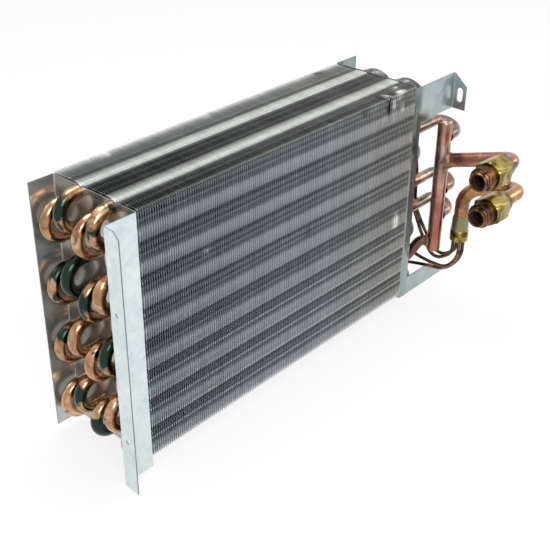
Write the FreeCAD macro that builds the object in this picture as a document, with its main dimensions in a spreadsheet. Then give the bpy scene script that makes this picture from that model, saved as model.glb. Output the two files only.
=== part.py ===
# Evaporator core: a finned coil of expanded copper hairpins between two folded tube
# sheets, with return bends, a suction header, a liquid distributor and two flare fittings.
import FreeCAD
import Part
import Sketcher
import math
import os

Vector = FreeCAD.Vector
doc = FreeCAD.newDocument("evaporator_core")

# Driving sizes in millimetres. Heights are above the fins' lower edge, forward is ahead of
# the fins' front edges, and a reach is measured sideways from the end of the fin pack.
SIZES = (
    ("fin_length", 307.7, "length of the fin pack between the tube sheets"),
    ("tube_rows", 5, "rows of tubes from front to back"),
    ("tubes_in_row", 8, "tubes in each row, an even number because two make a hairpin"),
    ("row_pitch", 17.25, "distance between rows"),
    ("tube_pitch", 25.4, "distance between the tubes of a row"),
    ("front_row_inset", 6.9, "fins' front edges to the first row"),
    ("tube_diameter", 9.52, "outside diameter of the coil tubes"),
    ("tube_sides", 8, "flats round a coil tube"),
    ("bend_chords", 5, "straight pieces that make a hairpin's or a feeder's bend"),
    ("return_chords", 4, "straight pieces that make a return bend"),
    ("collar_clearance", 0.05, "play round a tube in the fins and in the tube sheets"),
    ("fin_gaps", 48, "air gaps cut round the fin pack, a few for many of the real pack"),
    ("fin_gap_width", 2.8, "width of one air gap"),
    ("fin_gap_depth", 2.0, "depth of the air gaps in the front and the back, short of the collars"),
    ("fin_gap_end_depth", 1.5, "depth of the air gaps in the top and the bottom, short of the collars"),
    ("hairpin_reach", 22.5, "outermost point of a hairpin, left of the fins"),
    ("tube_stub", 6.0, "tube ends standing out of the fins on the right"),
    ("bend_stub", 6.5, "straight ends of a return bend"),
    ("sheet_thickness", 1.0, "galvanised sheet"),
    ("flange_reach", 27.8, "left front flange, from the fins to the outer face of its lip"),
    ("left_back_reach", 21.7, "left back flange"),
    ("left_lip_width", 13.5, "left lip, ahead of the fins' front edges"),
    ("left_sheet_top", 201.5, "top of the left tube sheet"),
    ("left_sheet_bottom", -11.0, "lower end of the left lip"),
    ("left_back_bottom", -4.0, "lower edge of the left sheet's web and back flange"),
    ("lip_lower_cut", 1.0, "rise of the lip's lower edge towards its fold"),
    ("flange_rise", 2.0, "lower edge of the left front flange, above the lip's lower end"),
    ("lip_top_corner", 5.0, "corner cut off the lip's top"),
    ("lip_hole_height", 86.05, "centre of the lip's pair of holes"),
    ("lip_hole_spacing", 105.5, "distance between the lip's holes"),
    ("lip_hole_inset", 6.3, "lip's holes, ahead of the fins' front edges"),
    ("lip_hole_radius", 1.6, "radius of the lip's holes"),
    ("right_sheet_top", 203.5, "top of the right tube sheet"),
    ("right_sheet_bottom", -4.0, "lower edge of the right tube sheet"),
    ("right_back_reach", 27.3, "right back flange"),
    ("right_front_reach", 10.0, "right front flange between the tabs"),
    ("upper_tab_reach", 59.0, "upper front tab, from the fins to the outer face of its lip"),
    ("upper_tab_bottom", 168.8, "lower edge of the upper tab"),
    ("upper_tab_top", 201.0, "upper edge of the upper tab"),
    ("upper_lip_width", 12.7, "upper tab's lip, ahead of the fins' front edges"),
    ("upper_lip_corner", 11.0, "slant of the upper lip's top edge"),
    ("slot_rise", 13.0, "centre of the upper lip's slot, above the tab's lower edge"),
    ("slot_inset", 6.7, "upper lip's slot, ahead of the fins' front edges"),
    ("slot_width", 6.0, "width of the slot"),
    ("slot_length", 13.0, "length of the slot from end to end"),
    ("lower_tab_top", 14.0, "upper edge of the lower tab"),
    ("lower_tab_bottom", -3.5, "lower edge of the lower tab"),
    ("lower_tab_short_reach", 52.5, "lower tab along its upper edge"),
    ("lower_tab_long_reach", 80.0, "lower tab along its lower edge"),
    ("pipe_diameter", 12.7, "outside diameter of the header and of both line pipes"),
    ("pipe_sides", 12, "flats round a line pipe"),
    ("pipe_chords", 5, "straight pieces that make a line pipe's bend"),
    ("header_reach", 29.3, "axis of the suction header"),
    ("header_forward", 13.0, "axis of the suction header, ahead of the fins"),
    ("header_below_outlet", 12.5, "lower end of the header above the lowest outlet"),
    ("header_above_outlet", 7.5, "upper end of the header above the highest outlet"),
    ("cap_height", 3.0, "height of a header end cap"),
    ("cap_crown_radius", 4.2, "radius of an end cap's flat crown"),
    ("socket_depth", 2.5, "depth of the header's sockets for the feeders"),
    ("hook_reach", 43.3, "where the hooked feeders begin to turn back"),
    ("hook_drop", 6.0, "fall of a hooked feeder from the outlet to the header"),
    ("low_feeder_reach", 17.0, "where the lowest feeder turns up to the header"),
    ("low_feeder_rise", 18.5, "rise of the lowest feeder to its socket"),
    ("low_feeder_lead", 12.5, "level end of the lowest feeder, from the header's axis"),
    ("low_feeder_radius", 8.0, "bend radius of the lowest feeder"),
    ("suction_height", 131.0, "suction branch on the header"),
    ("fitting_forward", 78.0, "axis of both fittings, ahead of the fins"),
    ("suction_fitting_height", 147.5, "axis of the suction fitting"),
    ("suction_corner_reach", 43.7, "corner of the suction pipe"),
    ("suction_tip_inset", 20.1, "tip of the suction fitting, inward from the fins' end"),
    ("liquid_fitting_height", 113.3, "axis of the liquid fitting"),
    ("liquid_corner_reach", 65.0, "front corner of the liquid pipe"),
    ("liquid_tip_inset", 15.4, "tip of the liquid fitting, inward from the fins' end"),
    ("liquid_run_height", 105.7, "top of the liquid pipe's upright"),
    ("upright_reach", 38.3, "axis of the liquid upright and of the distributor"),
    ("upright_forward", 33.3, "axis of the liquid upright, ahead of the fins"),
    ("elbow_radius", 10.0, "bend radius of the front elbows"),
    ("upright_bend_radius", 16.0, "bend radius at the top of the liquid upright"),
    ("nose_length", 5.0, "cone in front of a fitting's thread"),
    ("nose_tip_radius", 7.9, "radius of the cone's tip"),
    ("nose_root_radius", 10.1, "radius of the cone where it meets the thread"),
    ("thread_radius", 10.4, "outside radius of the thread"),
    ("thread_length", 7.0, "length of the thread"),
    ("neck_radius", 9.4, "relief behind the thread"),
    ("neck_length", 3.0, "length of the relief"),
    ("hex_sides", 6, "sides of the hexagon"),
    ("hex_flats", 23.5, "hexagon across flats"),
    ("hex_length", 20.0, "length of the hexagon"),
    ("socket_radius", 8.9, "sleeve that the pipe is brazed into"),
    ("socket_length", 10.0, "length of that sleeve"),
    ("bore_radius", 6.2, "bore of a fitting"),
    ("bore_depth", 30.0, "depth of a fitting's bore"),
    ("distributor_top", 79.0, "top of the distributor's sleeve"),
    ("distributor_shoulder", 66.5, "top of the distributor's body"),
    ("distributor_bottom", 56.0, "underside of the distributor"),
    ("distributor_radius", 8.2, "radius of the distributor's body"),
    ("distributor_sleeve_radius", 7.0, "radius of the distributor's sleeve"),
    ("outlet_circle_radius", 4.6, "circle of the capillary outlets"),
    ("turned_sides", 16, "flats round the small turned pieces"),
    ("capillary_diameter", 3.2, "outside diameter of a capillary"),
    ("capillary_sides", 6, "flats round a capillary"),
    ("capillary_chords", 2, "straight pieces that make a capillary's bend"),
    ("ferrule_length", 9.0, "reducing ferrule on a coil inlet"),
    ("ferrule_tip_radius", 2.6, "radius of the ferrule's small end"),
    ("capillary_approach", 14.0, "straight end of a capillary before its ferrule"),
    ("bend_share", 0.45, "share of the shorter run beside it that a capillary's bend takes"),
    ("saddle_start", 2.1, "start of the suction pipe, from the header's axis"),
    ("cut_margin", 1.0, "how far a cut runs past the edge that it opens"),
)

sheet = doc.addObject("Spreadsheet::Sheet", "Sizes")
for line, (alias, value, meaning) in enumerate(SIZES, start=1):
    sheet.set(f"A{line}", meaning)
    sheet.set(f"B{line}", str(value))
    sheet.setAlias(f"B{line}", alias)
doc.recompute()


def size(alias):
    """Read one driving size."""
    return float(sheet.get(alias))


def count(alias):
    """Read one driving number of pieces."""
    return int(round(sheet.get(alias)))


# The part's origin is the centre of the left lip's pair of holes, on the lip's outer face.
# Everything is drawn from the lower front left corner of the fin pack.
CORNER = ("Sizes.flange_reach", "Sizes.lip_hole_inset", "-Sizes.lip_hole_height")
corner = Vector(size("flange_reach"), size("lip_hole_inset"), -size("lip_hole_height"))

fin_length = size("fin_length")
fin_depth = "Sizes.tube_rows * Sizes.row_pitch"
fin_height = "Sizes.tubes_in_row * Sizes.tube_pitch"
tube_radius = size("tube_diameter") / 2
pipe_radius = size("pipe_diameter") / 2

pieces = []


def keep(piece, label):
    """Name a finished piece and list it for export."""
    piece.Label = label
    pieces.append(piece)
    return piece


def place(thing, x="0", y="0", z="0"):
    """Bind an object's position to sizes, counted from the fin pack's corner."""
    for axis, origin, offset in zip("xyz", CORNER, (x, y, z)):
        thing.setExpression(f"Placement.Base.{axis}", f"{origin} + {offset}")


def feature(name, shape, base=corner, rotation=FreeCAD.Rotation()):
    """Add a shape made from the sizes, and put it in place."""
    thing = doc.addObject("Part::Feature", name)
    thing.Shape = shape
    thing.Placement = FreeCAD.Placement(base, rotation)
    return thing


# Tubes: bars of equal flats, mitred at every turn, which enclose the round tube's area.


def corner_radius(radius, sides):
    """Corner radius of a regular section with the area of a circle."""
    return radius * math.sqrt(2 * math.pi / (sides * math.sin(2 * math.pi / sides)))


def flat_radius(radius, sides):
    """Distance from the axis to the flats of that section."""
    return corner_radius(radius, sides) * math.cos(math.pi / sides)


def rounded_route(points, radii, chords):
    """Replace each inner point by chords of the arc that is tangent to both runs."""
    route = [points[0]]
    for before, here, after, radius in zip(points, points[1:], points[2:], radii):
        back = (before - here).normalize()
        ahead = (after - here).normalize()
        half = back.getAngle(ahead) / 2
        centre = here + (back + ahead).normalize() * (radius / math.sin(half))
        spoke = here + back * (radius / math.tan(half)) - centre
        last_spoke = here + ahead * (radius / math.tan(half)) - centre
        swing = FreeCAD.Rotation(spoke.cross(last_spoke), (180 - 2 * math.degrees(half)) / chords)
        for _ in range(chords + 1):
            route.append(centre + spoke)
            spoke = swing.multVec(spoke)
    route.append(points[-1])
    return route


def turned_back(start, finish, outward, turning_point, chords):
    """Run outward from the start, turn through half a circle and come back to the finish."""
    near = start + outward * (turning_point - start.dot(outward))
    far = finish + outward * (turning_point - finish.dot(outward))
    centre = (near + far) / 2
    spoke = near - centre
    route = [start]
    for step in range(chords + 1):
        angle = math.pi * step / chords
        route.append(centre + spoke * math.cos(angle) + outward * (spoke.Length * math.sin(angle)))
    route.append(finish)
    return route


def easy_radii(points):
    """Bend radii as large as the two runs beside each point allow."""
    radii = []
    for before, here, after in zip(points, points[1:], points[2:]):
        turn = (here - before).getAngle(after - here)
        shorter = min((here - before).Length, (after - here).Length)
        radii.append(size("bend_share") * shorter / math.tan(turn / 2))
    return radii


def skin(rings):
    """Solid inside a chain of rings of points, closed by its first and last ring."""
    faces = [Part.Face(Part.makePolygon(end + end[:1])) for end in (rings[0], rings[-1])]
    for first, second in zip(rings, rings[1:]):
        for k in range(len(first)):
            quad = [first[k - 1], first[k], second[k], second[k - 1], first[k - 1]]
            faces.append(Part.Face(Part.makePolygon(quad)))
    solid = Part.Solid(Part.Shell(faces))
    if solid.Volume < 0:
        solid.reverse()
    return solid


def section(middle, run, radius, sides):
    """Ring of corners square to a run, with two flats level."""
    side = Vector(0, 0, 1) if abs(run.z) < 0.9 else Vector(0, 1, 0)
    across = run.cross(side).normalize()
    upward = across.cross(run)
    reach = corner_radius(radius, sides)
    angles = [2 * math.pi * (k + 0.5) / sides for k in range(sides)]
    return [middle + across * (reach * math.cos(a)) + upward * (reach * math.sin(a)) for a in angles]


def bar(route, radius, sides):
    """Solid bar of regular section along straight runs with mitred joints."""
    runs = [(end - start).normalize() for start, end in zip(route, route[1:])]
    ring = section(route[0], runs[0], radius, sides)
    rings = [ring]
    for index, run in enumerate(runs):
        onward = runs[index + 1] if index + 1 < len(runs) else run
        normal = run + onward
        joint = route[index + 1]
        ring = [p + run * ((joint - p).dot(normal) / run.dot(normal)) for p in ring]
        rings.append(ring)
    return skin(rings)


def stepped_bar(run, steps, sides):
    """Straight solid of flats along a run, with a radius at each distance."""
    return skin([section(run * distance, run, radius, sides) for distance, radius in steps])


def outline(body, name, plane, corners, offset=None):
    """Closed sketch whose corners are bound to sizes, on one of the body's own planes."""
    sketch = body.newObject("Sketcher::SketchObject", name)
    support = next(f for f in body.Origin.OriginFeatures if f.Role == plane)
    sketch.AttachmentSupport = [(support, "")]
    sketch.MapMode = "FlatFace"
    if offset:
        sketch.setExpression("AttachmentOffset.Base.z", offset)
    doc.recompute()
    places = [Vector(*(float(sketch.evalExpression(f"1 * ({c})")) for c in pair)) for pair in corners]
    for index, start in enumerate(places):
        sketch.addGeometry(Part.LineSegment(start, places[(index + 1) % len(places)]), False)
    for index in range(len(places)):
        following = (index + 1) % len(places)
        sketch.addConstraint(Sketcher.Constraint("Coincident", index, 2, following, 1))
    for index, (pair, spot) in enumerate(zip(corners, places)):
        for kind, expression, value in zip(("DistanceX", "DistanceY"), pair, spot):
            number = sketch.addConstraint(Sketcher.Constraint(kind, -1, 1, index, 1, value))
            sketch.setExpression(f"Constraints[{number}]", expression)
    doc.recompute()
    return sketch


def pad(body, name, sketch, length, reversed_pad=False):
    """Add the sketch's area, pushed out by a length."""
    step = body.newObject("PartDesign::Pad", name)
    step.Profile = sketch
    step.setExpression("Length", length)
    step.Reversed = reversed_pad
    doc.recompute()
    return step


def cut_through(body, name, sketch):
    """Cut the sketch's area right through, both ways."""
    before = body.Shape.Volume
    step = body.newObject("PartDesign::Pocket", name)
    step.Profile = sketch
    step.Type = "ThroughAll"
    step.Midplane = True
    doc.recompute()
    if not body.Shape.Volume < before:
        raise RuntimeError(f"{name} cuts nothing")
    return step


# Tube layout: odd rows stand half a pitch lower than even rows.


def tube_centre(row, level):
    """Centre of one tube in the plane across the coil, rows and levels counted from 0."""
    pitch = size("tube_pitch")
    lowest = pitch / 4 if row % 2 == 0 else pitch * 3 / 4
    return Vector(0, size("front_row_inset") + row * size("row_pitch"), lowest + level * pitch)


tube_sides = count("tube_sides")
rows = range(count("tube_rows"))
levels = range(count("tubes_in_row"))
hole_flat = flat_radius(tube_radius, tube_sides) + size("collar_clearance")
hole_radius = tube_radius * hole_flat / flat_radius(tube_radius, tube_sides)
margin = size("cut_margin")


def tube_holes(name, start, end):
    """Holes for all tubes, from one distance along the coil to another."""
    holes = []
    for row in rows:
        for level in levels:
            ends = [tube_centre(row, level) + Vector(x, 0, 0) for x in (start, end)]
            holes.append(bar(ends, hole_radius, tube_sides))
    return feature(name, Part.makeCompound(holes))


# Fin pack: the fins' collars touch and make one sleeve round each tube. Air gaps run round
# the whole pack and leave the fins' edges standing.
fin_block = doc.addObject("Part::Box", "fin_block")
fin_block.setExpression("Length", "Sizes.fin_length")
fin_block.setExpression("Width", fin_depth)
fin_block.setExpression("Height", fin_height)
place(fin_block)

depth = size("tube_rows") * size("row_pitch")
height = size("tubes_in_row") * size("tube_pitch")
gap_width = size("fin_gap_width")
gap_depth = size("fin_gap_depth")
gap_end_depth = size("fin_gap_end_depth")
gap_pitch = (fin_length - gap_width) / (count("fin_gaps") + 1)
gap_rings = []
for gap in range(1, count("fin_gaps") + 1):
    gap_start = gap * gap_pitch
    outer_corner = Vector(gap_start, -margin, -margin)
    inner_corner = Vector(gap_start, gap_depth, gap_end_depth)
    outer = Part.makeBox(gap_width, depth + 2 * margin, height + 2 * margin, outer_corner)
    inner = Part.makeBox(gap_width, depth - 2 * gap_depth, height - 2 * gap_end_depth, inner_corner)
    gap_rings.append(outer.cut(inner))
fin_gaps = feature("fin_gap_rings", Part.makeCompound(gap_rings))

gapped_block = doc.addObject("Part::Cut", "gapped_block")
gapped_block.Base = fin_block
gapped_block.Tool = fin_gaps
fin_pack = doc.addObject("Part::Cut", "fin_pack")
fin_pack.Base = gapped_block
fin_pack.Tool = tube_holes("fin_collars", -margin, fin_length + margin)
keep(fin_pack, "fin_pack")

# Left tube sheet: one folded sheet, a web with a front and a back flange, and a lip that
# turns forward from the front flange and carries two fixing holes.
left_body = doc.addObject("PartDesign::Body", "left_sheet_body")
place(left_body)
left_section = outline(left_body, "left_section", "XY_Plane", (
    ("-Sizes.flange_reach", "-Sizes.left_lip_width"),
    ("Sizes.sheet_thickness - Sizes.flange_reach", "-Sizes.left_lip_width"),
    ("Sizes.sheet_thickness - Sizes.flange_reach", "0"),
    ("0", "0"),
    ("0", fin_depth),
    ("-Sizes.left_back_reach", fin_depth),
    ("-Sizes.left_back_reach", f"{fin_depth} - Sizes.sheet_thickness"),
    ("-Sizes.sheet_thickness", f"{fin_depth} - Sizes.sheet_thickness"),
    ("-Sizes.sheet_thickness", "Sizes.sheet_thickness"),
    ("-Sizes.flange_reach", "Sizes.sheet_thickness"),
), "Sizes.left_sheet_bottom")
pad(left_body, "left_folds", left_section, "Sizes.left_sheet_top - Sizes.left_sheet_bottom")
left_web_trim = outline(left_body, "left_web_trim", "YZ_Plane", (
    ("Sizes.sheet_thickness", "Sizes.left_sheet_bottom - Sizes.cut_margin"),
    (f"{fin_depth} + Sizes.cut_margin", "Sizes.left_sheet_bottom - Sizes.cut_margin"),
    (f"{fin_depth} + Sizes.cut_margin", "Sizes.left_back_bottom"),
    ("Sizes.sheet_thickness", "Sizes.left_back_bottom"),
))
cut_through(left_body, "left_web_lower_edge", left_web_trim)
lip_foot = outline(left_body, "lip_foot", "YZ_Plane", (
    ("-Sizes.left_lip_width", "Sizes.left_sheet_bottom"),
    ("-Sizes.left_lip_width", "Sizes.left_sheet_bottom - Sizes.cut_margin"),
    ("0", "Sizes.left_sheet_bottom - Sizes.cut_margin"),
    ("0", "Sizes.left_sheet_bottom + Sizes.lip_lower_cut"),
))
cut_through(left_body, "lip_lower_edge", lip_foot)
flange_foot = outline(left_body, "flange_foot", "XZ_Plane", (
    ("Sizes.sheet_thickness - Sizes.flange_reach", "Sizes.left_sheet_bottom - Sizes.cut_margin"),
    ("Sizes.cut_margin", "Sizes.left_sheet_bottom - Sizes.cut_margin"),
    ("Sizes.cut_margin", "Sizes.left_sheet_bottom + Sizes.flange_rise"),
    ("Sizes.sheet_thickness - Sizes.flange_reach", "Sizes.left_sheet_bottom + Sizes.flange_rise"),
))
cut_through(left_body, "flange_lower_edge", flange_foot)
past_lip = "-Sizes.left_lip_width - Sizes.cut_margin"
past_top = "Sizes.left_sheet_top + Sizes.cut_margin"
lip_head = outline(left_body, "lip_head", "YZ_Plane", (
    (past_lip, "Sizes.left_sheet_top - Sizes.lip_top_corner - Sizes.cut_margin"),
    ("Sizes.lip_top_corner - Sizes.left_lip_width + Sizes.cut_margin", past_top),
    (past_lip, past_top),
))
cut_through(left_body, "lip_upper_corner", lip_head)

fixing_holes = left_body.newObject("Sketcher::SketchObject", "fixing_holes")
side_plane = next(f for f in left_body.Origin.OriginFeatures if f.Role == "YZ_Plane")
fixing_holes.AttachmentSupport = [(side_plane, "")]
fixing_holes.MapMode = "FlatFace"
doc.recompute()
for number, side in enumerate((-1, 1)):
    middle = Vector(-size("lip_hole_inset"), size("lip_hole_height") + side * size("lip_hole_spacing") / 2, 0)
    fixing_holes.addGeometry(Part.Circle(middle, Vector(0, 0, 1), size("lip_hole_radius")), False)
    for kind, value, expression in (
        ("DistanceX", middle.x, "-Sizes.lip_hole_inset"),
        ("DistanceY", middle.y, f"Sizes.lip_hole_height + {side} * Sizes.lip_hole_spacing / 2"),
    ):
        rule = fixing_holes.addConstraint(Sketcher.Constraint(kind, -1, 1, number, 3, value))
        fixing_holes.setExpression(f"Constraints[{rule}]", expression)
    rule = fixing_holes.addConstraint(Sketcher.Constraint("Radius", number, size("lip_hole_radius")))
    fixing_holes.setExpression(f"Constraints[{rule}]", "Sizes.lip_hole_radius")
doc.recompute()
cut_through(left_body, "fixing_hole_pair", fixing_holes)

left_sheet = doc.addObject("Part::Cut", "left_tube_sheet")
left_sheet.Base = left_body
left_sheet.Tool = tube_holes("left_sheet_holes", -size("sheet_thickness") - margin, margin)
keep(left_sheet, "left_tube_sheet")

# Right tube sheet: a web with a full back flange and a narrow front flange that widens into
# two tabs. The upper tab ends in a lip with a slot, and the lower tab ends on a slant.
right_body = doc.addObject("PartDesign::Body", "right_sheet_body")
place(right_body, "Sizes.fin_length")
right_section = outline(right_body, "right_section", "XY_Plane", (
    ("0", "0"),
    ("Sizes.right_front_reach", "0"),
    ("Sizes.right_front_reach", "Sizes.sheet_thickness"),
    ("Sizes.sheet_thickness", "Sizes.sheet_thickness"),
    ("Sizes.sheet_thickness", f"{fin_depth} - Sizes.sheet_thickness"),
    ("Sizes.right_back_reach", f"{fin_depth} - Sizes.sheet_thickness"),
    ("Sizes.right_back_reach", fin_depth),
    ("0", fin_depth),
), "Sizes.right_sheet_bottom")
pad(right_body, "right_folds", right_section, "Sizes.right_sheet_top - Sizes.right_sheet_bottom")
upper_tab = outline(right_body, "upper_tab", "XY_Plane", (
    ("0", "0"),
    ("Sizes.upper_tab_reach - Sizes.sheet_thickness", "0"),
    ("Sizes.upper_tab_reach - Sizes.sheet_thickness", "-Sizes.upper_lip_width"),
    ("Sizes.upper_tab_reach", "-Sizes.upper_lip_width"),
    ("Sizes.upper_tab_reach", "Sizes.sheet_thickness"),
    ("0", "Sizes.sheet_thickness"),
), "Sizes.upper_tab_bottom")
pad(right_body, "upper_tab_and_lip", upper_tab, "Sizes.upper_tab_top - Sizes.upper_tab_bottom")
lower_tab = outline(right_body, "lower_tab", "XZ_Plane", (
    ("0", "Sizes.lower_tab_bottom"),
    ("Sizes.lower_tab_long_reach", "Sizes.lower_tab_bottom"),
    ("Sizes.lower_tab_short_reach", "Sizes.lower_tab_top"),
    ("0", "Sizes.lower_tab_top"),
))
pad(right_body, "lower_tab_plate", lower_tab, "Sizes.sheet_thickness", True)
past_width = "(Sizes.upper_lip_width + Sizes.cut_margin)"
slant_end = f"Sizes.upper_tab_top - Sizes.upper_lip_corner * {past_width} / Sizes.upper_lip_width"
upper_lip_slant = outline(right_body, "upper_lip_slant", "YZ_Plane", (
    ("0", "Sizes.upper_tab_top"),
    ("0", "Sizes.upper_tab_top + Sizes.cut_margin"),
    (f"-{past_width}", "Sizes.upper_tab_top + Sizes.cut_margin"),
    (f"-{past_width}", slant_end),
))
cut_through(right_body, "upper_lip_top", upper_lip_slant)

slot_body = doc.addObject("Part::Box", "slot_middle")
slot_body.setExpression("Length", "3 * Sizes.sheet_thickness")
slot_body.setExpression("Width", "Sizes.slot_width")
slot_body.setExpression("Height", "Sizes.slot_length - Sizes.slot_width")
slot_start = "Sizes.fin_length + Sizes.upper_tab_reach - 2 * Sizes.sheet_thickness"
slot_middle = "Sizes.upper_tab_bottom + Sizes.slot_rise"
slot_half = "(Sizes.slot_length - Sizes.slot_width) / 2"
place(slot_body, slot_start, "-Sizes.slot_inset - Sizes.slot_width / 2", f"{slot_middle} - {slot_half}")
slot_parts = [slot_body]
for end, sign in (("lower", "-"), ("upper", "+")):
    slot_end = doc.addObject("Part::Cylinder", f"slot_{end}_end")
    slot_end.setExpression("Radius", "Sizes.slot_width / 2")
    slot_end.setExpression("Height", "3 * Sizes.sheet_thickness")
    slot_end.Placement.Rotation = FreeCAD.Rotation(Vector(0, 1, 0), 90)
    place(slot_end, slot_start, "-Sizes.slot_inset", f"{slot_middle} {sign} {slot_half}")
    slot_parts.append(slot_end)
slot = doc.addObject("Part::MultiFuse", "slot")
slot.Shapes = slot_parts
slotted_sheet = doc.addObject("Part::Cut", "slotted_sheet")
slotted_sheet.Base = right_body
slotted_sheet.Tool = slot
right_sheet = doc.addObject("Part::Cut", "right_tube_sheet")
right_sheet.Base = slotted_sheet
right_outside = fin_length + size("sheet_thickness")
right_sheet.Tool = tube_holes("right_sheet_holes", fin_length - margin, right_outside + margin)
keep(right_sheet, "right_tube_sheet")

# Hairpins: each tube goes through the whole pack, turns back on the left and returns.
rightward = Vector(1, 0, 0)
bend_chords = count("bend_chords")
return_chords = count("return_chords")
tube_end = fin_length + size("tube_stub")
hairpin_turn = size("hairpin_reach") - tube_radius - size("tube_pitch") / 2
hairpin_start = Vector(tube_end, 0, 0)
hairpin_finish = Vector(tube_end, 0, size("tube_pitch"))
hairpin_route = turned_back(hairpin_start, hairpin_finish, -rightward, hairpin_turn, bend_chords)
circuits = range(len(levels) // 2)
for row in rows:
    for circuit in circuits:
        name = f"hairpin_row{row + 1}_{circuit + 1}"
        hairpin_base = corner + tube_centre(row, 2 * circuit)
        keep(feature(name, bar(hairpin_route, tube_radius, tube_sides), hairpin_base), name)

# Circuits: each one drains at the front row through the upper or the lower tube of its
# hairpin. Return bends then carry it back row by row, at the two tubes in turn.
DRAINS_HIGH = (True, True, False, False)


def drain_level(circuit):
    """Level of the tube that a circuit drains from, in every odd row."""
    return 2 * circuit + (1 if DRAINS_HIGH[circuit % 4] else 0)


def feed_level(circuit):
    """Level of the other tube of that hairpin."""
    return 4 * circuit + 1 - drain_level(circuit)


for circuit in circuits:
    for row in rows[:-1]:
        level = feed_level(circuit) if row % 2 == 0 else drain_level(circuit)
        step = tube_centre(row + 1, level) - tube_centre(row, level)
        bend_route = turned_back(Vector(), step, rightward, size("bend_stub"), return_chords)
        name = f"return_bend_{circuit + 1}_{row + 1}"
        bend_base = corner + tube_centre(row, level) + rightward * tube_end
        keep(feature(name, bar(bend_route, tube_radius, tube_sides), bend_base), name)

# Suction header: an upright tube with two end caps, sockets for the four feeders and a
# saddle joint to the suction pipe.
header_axis = Vector(fin_length + size("header_reach"), -size("header_forward"), 0)
header_x = "Sizes.fin_length + Sizes.header_reach"
header_y = "-Sizes.header_forward"
lowest_drain = drain_level(circuits[0])
highest_drain = drain_level(circuits[-1])
header_low = f"Sizes.tube_pitch * ({lowest_drain} + 1 / 4) + Sizes.header_below_outlet"
header_high = f"Sizes.tube_pitch * ({highest_drain} + 1 / 4) + Sizes.header_above_outlet"
header_tube = doc.addObject("Part::Prism", "header_tube")
header_tube.Polygon = count("pipe_sides")
area_share = "2 * pi / (Sizes.pipe_sides * sin(360 / Sizes.pipe_sides))"
header_tube.setExpression("Circumradius", f"Sizes.pipe_diameter / 2 * sqrt({area_share})")
header_tube.setExpression("Height", f"{header_high} - ({header_low})")
header_tube.Placement.Rotation = FreeCAD.Rotation(Vector(0, 0, 1), 180 / count("pipe_sides"))
place(header_tube, header_x, header_y, header_low)

sockets = []
socket_bottom = header_axis + rightward * (pipe_radius - size("socket_depth"))
for circuit in circuits:
    outlet = tube_centre(0, drain_level(circuit)) + rightward * tube_end
    if circuit == 0:
        turn_up = Vector(fin_length + size("low_feeder_reach"), outlet.y, outlet.z)
        inward = (header_axis - Vector(turn_up.x, turn_up.y, 0)).normalize()
        aim = header_axis + Vector(0, 0, outlet.z + size("low_feeder_rise"))
        turn_in = aim - inward * size("low_feeder_lead")
        end = aim - inward * (pipe_radius - size("socket_depth"))
        radii = [size("low_feeder_radius"), size("low_feeder_radius")]
        route = rounded_route([outlet, turn_up, turn_in, end], radii, bend_chords // 2)
    else:
        end = socket_bottom + Vector(0, 0, outlet.z - size("hook_drop"))
        hook_turn = fin_length + size("hook_reach")
        route = turned_back(outlet, end, rightward, hook_turn, bend_chords)
    name = f"feeder_{circuit + 1}"
    keep(feature(name, bar(route, tube_radius, tube_sides)), name)
    sockets.append(bar(route, hole_radius, tube_sides))
header = doc.addObject("Part::Cut", "suction_header")
header.Base = header_tube
header.Tool = feature("header_sockets", Part.makeCompound(sockets))
keep(header, "suction_header")

upward = Vector(0, 0, 1)
cap_steps = [(0, pipe_radius), (size("cap_height"), size("cap_crown_radius"))]
for name, way, level in (
    ("header_cap_lower", -upward, tube_centre(0, lowest_drain).z + size("header_below_outlet")),
    ("header_cap_upper", upward, tube_centre(0, highest_drain).z + size("header_above_outlet")),
):
    cap = stepped_bar(way, cap_steps, count("pipe_sides"))
    keep(feature(name, cap, corner + header_axis + upward * level), name)

# Flare fittings: a turned and milled brass body, with a cone and a thread in front, a
# hexagon for the spanner and a sleeve for the pipe. Both face left, along the coil.
turned_sides = count("turned_sides")
lengthwise = FreeCAD.Rotation(Vector(0, 1, 0), 90)
FITTING_LENGTHS = ("nose_length", "thread_length", "neck_length", "hex_length", "socket_length")
fitting_length = sum(size(length) for length in FITTING_LENGTHS)
thread_end = "Sizes.nose_length + Sizes.thread_length"
hex_start = f"{thread_end} + Sizes.neck_length"
hex_end = f"{hex_start} + Sizes.hex_length"
FLAT_STAGES = (
    ("neck", turned_sides, "Sizes.neck_radius", thread_end, "Sizes.neck_length"),
    ("hexagon", count("hex_sides"), "Sizes.hex_flats / 2", hex_start, "Sizes.hex_length"),
    ("sleeve", turned_sides, "Sizes.socket_radius", hex_end, "Sizes.socket_length"),
)
ROUND_STAGES = (
    ("thread", "Sizes.thread_radius", "Sizes.nose_length", "Sizes.thread_length"),
    ("bore", "Sizes.bore_radius", "0", "Sizes.bore_depth"),
)


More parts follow.
